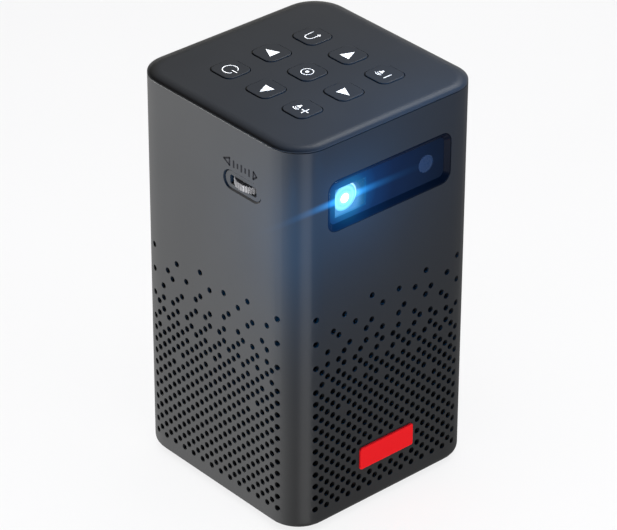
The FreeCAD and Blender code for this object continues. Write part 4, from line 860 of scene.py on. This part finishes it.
# %% [markdown]
# Each key is a small rounded pad with a hidden flange that keeps it in the cap, and a square stem
# that reaches down to its switch. The pad stops a hair below the CAD's top, so that its printed
# mark can stand proud and still end at the real height. Each rides on its own sliding body.

# %% Keys
KEY_TOP, MARK_TOP = 148.32, 148.35
PAD, PAD_CORNER, PAD_EDGE = 10.8, 2.8, 0.35
FLANGE, FLANGE_CORNER, FLANGE_LOW, FLANGE_TOP = 13.4, 4.1, 144.4, 145.3
STEM, STEM_CORNER, STEM_LOW, STEM_TOP = 3.0, 0.4, 141.3, 144.5


def make_key(name, column, row):
    bm = bmesh.new()
    x, y = column * KEY_PITCH, row * KEY_PITCH
    stack(bm, [(STEM, STEM, STEM_CORNER, height) for height in (STEM_LOW, STEM_TOP)], x=x, y=y)
    levels = [(FLANGE, FLANGE, FLANGE_CORNER, height) for height in (FLANGE_LOW, FLANGE_TOP)]
    levels += [(PAD, PAD, PAD_CORNER, FLANGE_TOP)]
    levels += rounded_over(PAD, PAD, PAD_CORNER, PAD_EDGE, KEY_TOP, range(0, 91, 15))
    stack(bm, levels, x=x, y=y)
    return make_piece(bm, f"{name}_keycap", f"{name}_key", key_plastic,
                      [f"{name}_key"])


keycaps = [make_key(name, column, row) for name, (column, row) in KEYS.items()]

# %% [markdown]
# The marks are white print. They could be drawn in the key's finish, but a thin solid stays crisp
# at any distance. Three tools make them all: a filled shape, a drawn line and part of a ring. The
# height of the print is the same everywhere, as a stencil leaves it.

# %% Printing tools
PRINT = 0.08
FINE, BOLD = 0.28, 0.34


def raise_up(bm, flat, thickness=PRINT):
    grown = bmesh.ops.extrude_face_region(bm, geom=flat)["geom"]
    points = [part for part in grown if isinstance(part, bmesh.types.BMVert)]
    bmesh.ops.translate(bm, vec=(0, 0, thickness), verts=points)


def filled(bm, points):
    """A filled shape through a few corner points."""
    raise_up(bm, [bm.faces.new([bm.verts.new((x, y, 0)) for x, y in points])])


def drawn(bm, points, stroke):
    """A line of even stroke through a few points."""
    for (x1, y1), (x2, y2) in zip(points, points[1:]):
        run = Vector((x2 - x1, y2 - y1, 0))
        bar = bmesh.ops.create_grid(bm, x_segments=1, y_segments=1, size=0.5)["verts"]
        face = bar[0].link_faces[0]
        bmesh.ops.scale(bm, vec=(run.length + stroke * 0.6, stroke, 1), verts=bar)
        bmesh.ops.rotate(bm, cent=(0, 0, 0), verts=bar,
                         matrix=Matrix.Rotation(atan2(run.y, run.x), 3, "Z"))
        bmesh.ops.translate(bm, vec=((x1 + x2) / 2, (y1 + y2) / 2, 0), verts=bar)
        raise_up(bm, [face])


def ringed(bm, x, y, radius, stroke, first, last):
    """Part of a ring, from one angle to another in degrees."""
    start = Matrix.Rotation(radians(first), 3, "Z")
    before = set(bm.faces)
    ends = [bm.verts.new(start @ Vector((reach, 0, 0)) + Vector((x, y, 0)))
            for reach in (radius - stroke / 2, radius + stroke / 2)]
    bmesh.ops.spin(bm, geom=ends + [bm.edges.new(ends)], cent=(x, y, 0), axis=(0, 0, 1),
                   angle=radians(last - first), steps=max(8, round((last - first) / 9)),
                   use_merge=last - first >= 360)
    raise_up(bm, [face for face in bm.faces if face not in before])


print("the print stands", PRINT, "mm high")

# %% [markdown]
# Each key has its own small drawing, in millimetres from the key's middle. The marks are drawn as
# the user reads them, from behind the projector, so they are turned half round before they go to
# their keys. The real print is a little uneven, and so are these corner points. Every mark rides on
# its key's body and goes down with it.

# %% Draw the marks
def plain_power(bm):
    ringed(bm, 0.25, 0.2, 2.62, FINE, 118, 422)
    drawn(bm, [(0.3, 1.3), (0.3, 3.6)], FINE)


def triangle_down(bm):
    filled(bm, [(0.2, -2.73), (2.44, 2.05), (-1.93, 1.94)])


def triangle_up(bm):
    filled(bm, [(-1.63, -1.33), (2.38, -1.17), (0.6, 3.43)])


def triangle_left(bm):
    filled(bm, [(-2.8, 0.2), (2.0, -1.8), (2.0, 2.5)])


def triangle_right(bm):
    filled(bm, [(3.1, 0.4), (-1.5, 2.4), (-1.4, -1.8)])


def turned_arrow(bm):
    drawn(bm, [(-2.1, -1.8), (1.0, -1.7)], FINE)
    ringed(bm, 1.0, -0.1, 1.6, FINE, -90, 90)
    drawn(bm, [(1.0, 1.5), (-1.6, 1.5)], FINE)
    filled(bm, [(-2.5, 1.5), (-1.5, 0.75), (-1.5, 2.25)])


def select_ring(bm):
    ringed(bm, 0.2, 0.2, 2.1, FINE, 0, 360)
    ringed(bm, 0.2, 0.2, 0.4, 0.55, 0, 360)


def small_loudspeaker(bm, x, y):
    filled(bm, [(x - 1.7, y - 0.4), (x - 1.0, y - 0.4), (x - 0.2, y - 1.0), (x - 0.2, y + 1.0),
                (x - 1.0, y + 0.4), (x - 1.7, y + 0.4)])
    ringed(bm, x - 0.4, y, 1.1, 0.24, -50, 50)
    ringed(bm, x - 0.4, y, 1.8, 0.24, -50, 50)


def louder(bm):
    drawn(bm, [(-1.0, 2.0), (2.1, 2.0)], BOLD)
    drawn(bm, [(0.55, 0.5), (0.55, 3.5)], BOLD)
    small_loudspeaker(bm, 0.55, -1.55)


def quieter(bm):
    drawn(bm, [(-1.2, 1.95), (2.1, 1.95)], BOLD)
    small_loudspeaker(bm, 0.55, -1.55)


MARKS = {"power": plain_power, "down": triangle_down, "return": turned_arrow,
         "right": triangle_right, "select": select_ring, "left": triangle_left,
         "volume_up": louder, "up": triangle_up, "volume_down": quieter}
for name, draw in MARKS.items():
    column, row = KEYS[name]
    mark = bmesh.new()
    draw(mark)
    bmesh.ops.rotate(mark, cent=(0, 0, 0), matrix=Matrix.Rotation(pi, 3, "Z"), verts=mark.verts[:])
    bmesh.ops.translate(mark, verts=mark.verts[:],
                        vec=(column * KEY_PITCH, row * KEY_PITCH, MARK_TOP - PRINT))
    make_piece(mark, f"{name}_mark", f"{name}_key", white_print)

# %% [markdown]
# Two thin arrow outlines and a short row of ticks stand over the focus wheel, printed darker than
# the sleeve. They show which ways the wheel turns. They are drawn flat like the keys' marks, stood
# up to face the front and then turned to the left side, and they sink a little into the sleeve, so
# that no light gets under them.

# %% Focus marks
ARROWS = (((5.76, 133.49), (8.57, 134.69), (8.54, 131.95)),
          ((21.9, 133.1), (20.4, 134.5), (20.2, 131.7)))
ARROW_STROKE, TICK_STROKE = 0.66, 0.72
TICK_X, TICK_Z, TICK_PITCH, TICK_TALL, TICK_SHORT = 10.6, 133.1, 1.9, 2.3, 1.5
SUNK = 0.05
focus_marks = bmesh.new()
for corners in ARROWS:
    drawn(focus_marks, [*corners, corners[0]], ARROW_STROKE)
for tick in range(5):
    x, tall = TICK_X + tick * TICK_PITCH, TICK_SHORT if tick % 2 else TICK_TALL
    drawn(focus_marks, [(x, TICK_Z - tall / 2), (x, TICK_Z + tall / 2)], TICK_STROKE)
bmesh.ops.translate(focus_marks, vec=(0, 0, HALF - SUNK), verts=focus_marks.verts[:])
face_front(focus_marks)
bmesh.ops.rotate(focus_marks, cent=(0, 0, 0), matrix=Matrix.Rotation(radians(-90), 3, "Z"),
                 verts=focus_marks.verts[:])
make_piece(focus_marks, "focus_marks", "housing", dark_print)

# %% [markdown]
# The window's frame is a ring with eight corners in its section: a narrow land level with the
# sleeve, a long polished bevel down to the pane, the pane's seat and the flange behind the wall. A
# section could be swept round the window, but a ring stack of outlines keeps each corner's own
# radius right. The bevel is what catches the light round the window.

# %% Window frame
frame_ring = bmesh.new()
land = [(53.7, 18.8, 3.85, 0.0), (52.9, 18.0, 3.45, 0.0)]
bevel_and_ledge = [(49.5, 14.6, 1.9, 1.4), (51.8, 16.9, 3.05, 1.4)]
seat_and_back = [(51.8, 16.9, 3.05, 3.55), (56.8, 21.9, 5.4, 3.55)]
flange = [(56.8, 21.9, 5.4, WALL), (53.7, 18.8, 3.85, WALL)]
section = land + bevel_and_ledge + seat_and_back + flange
stack(frame_ring, [(width, tall, radius, HALF - depth) for width, tall, radius, depth in section],
      ring=True, y=WINDOW_Z)
face_front(frame_ring)
make_piece(frame_ring, "window_frame", "housing", bezel_lit,
           ["window_bezel"], edge=0.12)

# %% [markdown]
# The plate on the lower front is a bare red oblong with rounded corners, glued on. Its edge is a
# quarter round in three steps, because a flat cut edge would look like paper. It is drawn flat, as
# a stack of outlines that rises from the sleeve's skin, and stood up to face the front.

# %% Red plate
PLATE, PLATE_TALL, PLATE_CORNER, PLATE_EDGE, PLATE_RISE = 24.1, 8.6, 0.9, 0.28, 0.7
plate = bmesh.new()
levels = [(PLATE, PLATE_TALL, PLATE_CORNER, HALF)]
levels += rounded_over(PLATE, PLATE_TALL, PLATE_CORNER, PLATE_EDGE, HALF + PLATE_RISE,
                       range(0, 91, 30))
stack(plate, levels, y=PLATE_Z)
face_front(plate)
make_piece(plate, "red_plate", "housing", plate_red, ["badge_plate"])

# %% [markdown]
# The front lens slides behind the pane, in its black barrel. Round parts are turned: a line of
# points, given as distance from the axis and height along it, is spun about the axis. A lens has a
# ground rim that seats in the barrel and a shallow dome on each side, which is part of a ball. The
# lamp behind lights it up, which its finish gives as light of its own.

# %% Front lens
def turned(bm, profile):
    """Spin a line of (radius, height) points about Z."""
    line = [bm.verts.new((radius, 0, height)) for radius, height in profile]
    runs = [bm.edges.new(pair) for pair in zip(line, line[1:])]
    bmesh.ops.spin(bm, geom=line + runs, cent=(0, 0, 0), axis=(0, 0, 1), angle=2 * pi,
                   steps=64, use_merge=True)


def dome(width, bulge, tip, side):
    """Profile points from the tip of a shallow dome to its edge."""
    ball = (width * width + bulge * bulge) / (2 * bulge)
    reach = asin(width / ball)
    return [(ball * sin(reach * i / 8), tip - side * ball * (1 - cos(reach * i / 8)))
            for i in range(9)]


BULGE, LENS_BACK, LENS_FRONT = 0.45, 35.2, 38.1
lens = bmesh.new()
ground_rim = [(5.38, 35.65), (LENS_RADIUS, 35.72), (LENS_RADIUS, 37.58), (5.38, 37.65)]
turned(lens, dome(4.6, BULGE, LENS_BACK, -1) + ground_rim
       + dome(5.1, BULGE, LENS_FRONT, 1)[::-1])
bmesh.ops.translate(lens, vec=(LENS_X, WINDOW_Z, 0), verts=lens.verts[:])
face_front(lens)
make_piece(lens, "lit_front_lens", "lens_barrel", lens_lit, ["front_lens"])

# %% [markdown]
# The focus wheel is a knurled aluminium disc that shows through its slot. Knurling is a row of
# ridges, which could be cut one by one. A fine circle whose points are drawn in, two by two, gives
# them all at once, and it is then raised to a disc and bevelled at its rims.

# %% Focus wheel
WHEEL_X, WHEEL_Y = -33.6, -14.7
WHEEL_RADIUS, GROOVE_RADIUS, WHEEL_WIDTH, RIDGES = 8.0, 7.7, 2.5, 48
BARE_HALF = 1.15


def knurled_aluminium():
    """Bare metal on the ridges, near black on the wheel's two flat faces."""
    finish = Finish("knurled aluminium")
    height = finish.along("Z") / MM
    flat = (height > WHEEL_Z + BARE_HALF) + (height < WHEEL_Z - BARE_HALF)
    scuffs = finish.noise(0.6, 4.0)
    bare = finish.mix(scuffs, (0.11, 0.11, 0.115, 1), (0.26, 0.26, 0.27, 1))
    return finish.done({
        "Base Color": finish.mix(flat, bare, (0.008, 0.008, 0.009, 1)),
        "Metallic": 1 - flat,
        "Roughness": 0.36 + scuffs * 0.12,
        "Normal": finish.bump(scuffs, 0.01),
        "Specular IOR Level": 0.1,
    })


wheel = bmesh.new()
rim = bmesh.ops.create_circle(wheel, cap_ends=True, segments=4 * RIDGES,
                              radius=WHEEL_RADIUS)["verts"]
for index, point in enumerate(rim):
    if index % 4 > 1:
        point.co *= GROOVE_RADIUS / WHEEL_RADIUS
raise_up(wheel, [rim[0].link_faces[0]], WHEEL_WIDTH)
bmesh.ops.translate(wheel, vec=(WHEEL_X, WHEEL_Y, WHEEL_Z - WHEEL_WIDTH / 2),
                    verts=wheel.verts[:])
make_piece(wheel, "knurled_wheel", "focus_wheel", knurled_aluminium(),
           ["focus_wheel"], edge=0.08)

# %% [markdown]
# The projector stands on a wide pale floor, which is a stage, not a part of the projector. A studio
# lights its floor only near the object, so a low view would show a dark band far off. The floor
# glows a little more with every metre instead, and stays white up to its edge.

# %% Pale floor
FLOOR_HALF, FULL_GLOW = 6.0, 4


def pale_floor():
    finish = Finish("pale floor")
    cloud = finish.noise(260.0)
    metres = finish.vector("LENGTH", finish.place, output="Value")
    far_glow = finish.node("ShaderNodeValToRGB", {"stops": [
        (0.15, (0, 0, 0, 1)), (0.375, (0.35, 0.35, 0.35, 1)), (0.5, (0.57, 0.57, 0.57, 1)),
        (0.75, (0.82, 0.82, 0.82, 1)), (1.0, (0.98, 0.98, 0.98, 1))]}, {0: metres / FULL_GLOW})
    return finish.done({
        "Base Color": finish.mix(cloud, (0.86, 0.86, 0.865, 1), (0.89, 0.89, 0.895, 1)),
        "Roughness": 0.75 + cloud * 0.1,
        "Specular IOR Level": 0.1,
        "Emission Color": far_glow,
        "Emission Strength": 1.0,
    })


ground = bmesh.new()
bmesh.ops.create_grid(ground, x_segments=2, y_segments=2, size=FLOOR_HALF)
floor_mesh = bpy.data.meshes.new("floor")
ground.to_mesh(floor_mesh)
ground.free()
floor_mesh.materials.append(pale_floor())
floor = bpy.data.objects.new("floor", floor_mesh)
bpy.context.scene.collection.objects.link(floor)
floor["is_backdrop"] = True
bpy.context.scene.view_settings.view_transform = "Standard"
print("floor", 2 * FLOOR_HALF, "m wide")

# %% [markdown]
# Every lamp here is a soft square one. A studio keeps light off a part with a flag, a black card on
# a stand. Cards would be seen in the picture, so light linking does their work: a lamp is given a
# list of the things that it lights, or of those that it leaves out.

# %% Lamps and flags
NEUTRAL, BLUE = (1, 1, 1), (0.0, 0.36, 1.0)


def soft_light(name, place, aim, size, power, shade=NEUTRAL, gloss=True):
    lamp = bpy.data.lights.new(name, "AREA")
    lamp.shape = "RECTANGLE"
    lamp.size = lamp.size_y = size
    lamp.energy = power
    lamp.color = shade
    thing = bpy.data.objects.new(name, lamp)
    thing.location = place
    thing.rotation_euler = (Vector(aim) - Vector(place)).to_track_quat("-Z", "Y").to_euler()
    thing.visible_glossy = gloss
    bpy.context.scene.collection.objects.link(thing)
    return thing


def flagged(lamp, things, state):
    """Let a lamp light only the given things, or everything but them."""
    chosen = bpy.data.collections.new(f"{lamp.name} flag")
    lamp.light_linking.receiver_collection = chosen
    for thing in things:
        chosen.objects.link(thing)
    for member in chosen.collection_objects:
        member.light_linking.link_state = state
    return chosen


print("lamps are neutral", NEUTRAL, "or blue like the lens", BLUE)

# %% [markdown]
# The room is white where the camera looks straight at it and dim where it only lights things, which
# keeps the shaded sides dark before a white page. Its brightness is therefore read from the kind of
# ray: a Light Path node tells what the camera sees from what lights the scene.

# %% White room
room = bpy.data.worlds.new("room")
room.use_nodes = True
backdrop = room.node_tree.nodes["Background"]
backdrop.inputs["Color"].default_value = (0.98, 0.985, 1.0, 1)
seen_direct = room.node_tree.nodes.new("ShaderNodeLightPath").outputs["Is Camera Ray"]
brightness = room.node_tree.nodes.new("ShaderNodeMapRange")
brightness.inputs["To Min"].default_value = 0.07
brightness.inputs["To Max"].default_value = 1.0
room.node_tree.links.new(seen_direct, brightness.inputs["Value"])
room.node_tree.links.new(brightness.outputs["Result"], backdrop.inputs["Strength"])
bpy.context.scene.world = room
print("the room lights with", brightness.inputs["To Min"].default_value)

# %% [markdown]
# A wide lamp at the left makes the left side the brightest, and one above gives the cap its even
# grey. Walls seen from above mirror what is below the horizon, so the upright line of light in the
# near corner comes from a lamp under the floor, as if from a white table's edge. A low one at the
# right draws the line along the cap's front edge. Small blue lamps stand for what the lit lens
# throws on the body; they don't show as reflections. A wash lights only the floor, with no shadow.

# %% Studio lights
left_light = soft_light("left light", (-0.98, 0.94, 0.36), (0, 0, 0.08), 0.8, 132)
flagged(left_light, [floor, cap_piece, *keycaps], "EXCLUDE")
for lamp in (
    soft_light("top light", (0.70, 0.10, 1.1), (0, 0, 0.12), 0.7, 19.5, (1.0, 0.985, 0.93)),
    soft_light("lens glow", (LENS_X * MM, -0.072, WINDOW_Z * MM), (LENS_X * MM, 0, WINDOW_Z * MM),
               0.01, 0.031, (0.07, 0.38, 1.0), gloss=False),
    soft_light("lens haze", (0.02, -0.11, 0.215), (0.02, -0.03, 0.13), 0.04, 0.10,
               (0.02, 0.34, 1.0), gloss=False),
    soft_light("corner haze", (-0.069, -0.054, 0.113), (-0.039, -0.033, 0.113), 0.015, 0.050,
               BLUE, gloss=False),
):
    flagged(lamp, [floor], "EXCLUDE")
for lamp in (
    soft_light("edge light", (0.80, -1.05, 0.56), (0, 0, 0.14), 0.5, 3.5),
    soft_light("cap haze", (0.01, -0.075, 0.20), (0.01, -0.025, 0.148), 0.03, 0.026,
               BLUE, gloss=False),
):
    flagged(lamp, [cap_piece, *keycaps], "INCLUDE")
corner_light = soft_light("corner light", (-0.31, -0.86, -0.44), (-0.037, -0.037, 0.075),
                          0.55, 6.4)
corner_light.light_linking.blocker_collection = flagged(corner_light, [floor], "EXCLUDE")
wash = soft_light("floor wash", (0.0, -0.2, 2.2), (0, 0, 0), 3.0, 82)
wash.light_linking.blocker_collection = flagged(wash, [floor], "INCLUDE")
print("lamps", [lamp.name for lamp in bpy.data.lights])

# %% [markdown]
# A lamp that shines into the camera spreads a halo and a streak over the picture. Both come from
# the glass of the camera, not from any surface of the projector, so they are added to the finished
# picture by two Glare nodes, which react only to what is far brighter than white.

# %% Halo and streak of the lit lens
bpy.context.scene.use_nodes = True
picture = bpy.context.scene.node_tree
picture.nodes.clear()
seen = picture.nodes.new("CompositorNodeRLayers").outputs["Image"]
GLARES = (
    ("STREAKS", {"Threshold": 4.0, "Strength": 0.5, "Tint": (0.06, 0.42, 1.0, 1), "Streaks": 2,
                 "Streaks Angle": radians(23), "Iterations": 4, "Fade": 0.93,
                 "Color Modulation": 0.0}),
    ("BLOOM", {"Threshold": 4.0, "Strength": 0.9, "Tint": (0.10, 0.40, 1.0, 1), "Size": 1.0}),
)
for kind, values in GLARES:
    glare = picture.nodes.new("CompositorNodeGlare")
    glare.glare_type = kind
    glare.quality = "HIGH"
    for name, value in values.items():
        glare.inputs[name].default_value = value
    picture.links.new(seen, glare.inputs["Image"])
    seen = glare.outputs["Image"]
picture.links.new(seen, picture.nodes.new("CompositorNodeComposite").inputs["Image"])
print("glare nodes", len(GLARES))

# %% [markdown]
# The CAD nodes get a finish by their material slot, and a few by name. A node that keeps its own
# shape may be seen only by a repairer, but nothing on the projector is left in a plain colour.

# %% Finishes for the CAD's own pieces
BY_SLOT = {
    "shell_plastic": sleeve_plastic, "cap_plastic": cap_plastic, "key_plastic": key_plastic,
    "bezel_plastic": bezel_plastic, "black_plastic": inner_plastic, "rubber": soft_rubber,
    "red_plate": plate_red, "steel": plated_steel, "aluminium": silver, "brass": turned_brass,
    "circuit_board": board_green, "mesh_cloth": cloth_black, "flat_cable": ribbon_grey,
    "paper_cone": cone_paper, "cell_wrap": cell_blue, "lens_glass": lens_coated,
    "smoked_glass": pane_tint,
}
BY_NODE = {"front_lens": lens_lit, "base_screws": screw_black, "lens_barrel": dark_anodised,
           "lens_lock_ring": dark_anodised, "window_bezel": bezel_lit}
for part in frame["record"]["subparts"]:
    finish = BY_NODE.get(part["node"], BY_SLOT[part["material_slot"]])
    for slot in frame["nodes"][part["node"]].material_slots:
        slot.material = finish

# %% [markdown]
# The last cell measures the dressed projector and prints, in millimetres, how far each corner of
# its box has moved from the CAD box.

# %% Measure and finish
dressed_box = [list(corner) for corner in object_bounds()]
grown = [round((new - old) / MM, 3)
         for corner in zip(dressed_box, cad_box) for new, old in zip(*corner)]
print("grown in mm, low corner then high corner:", grown)
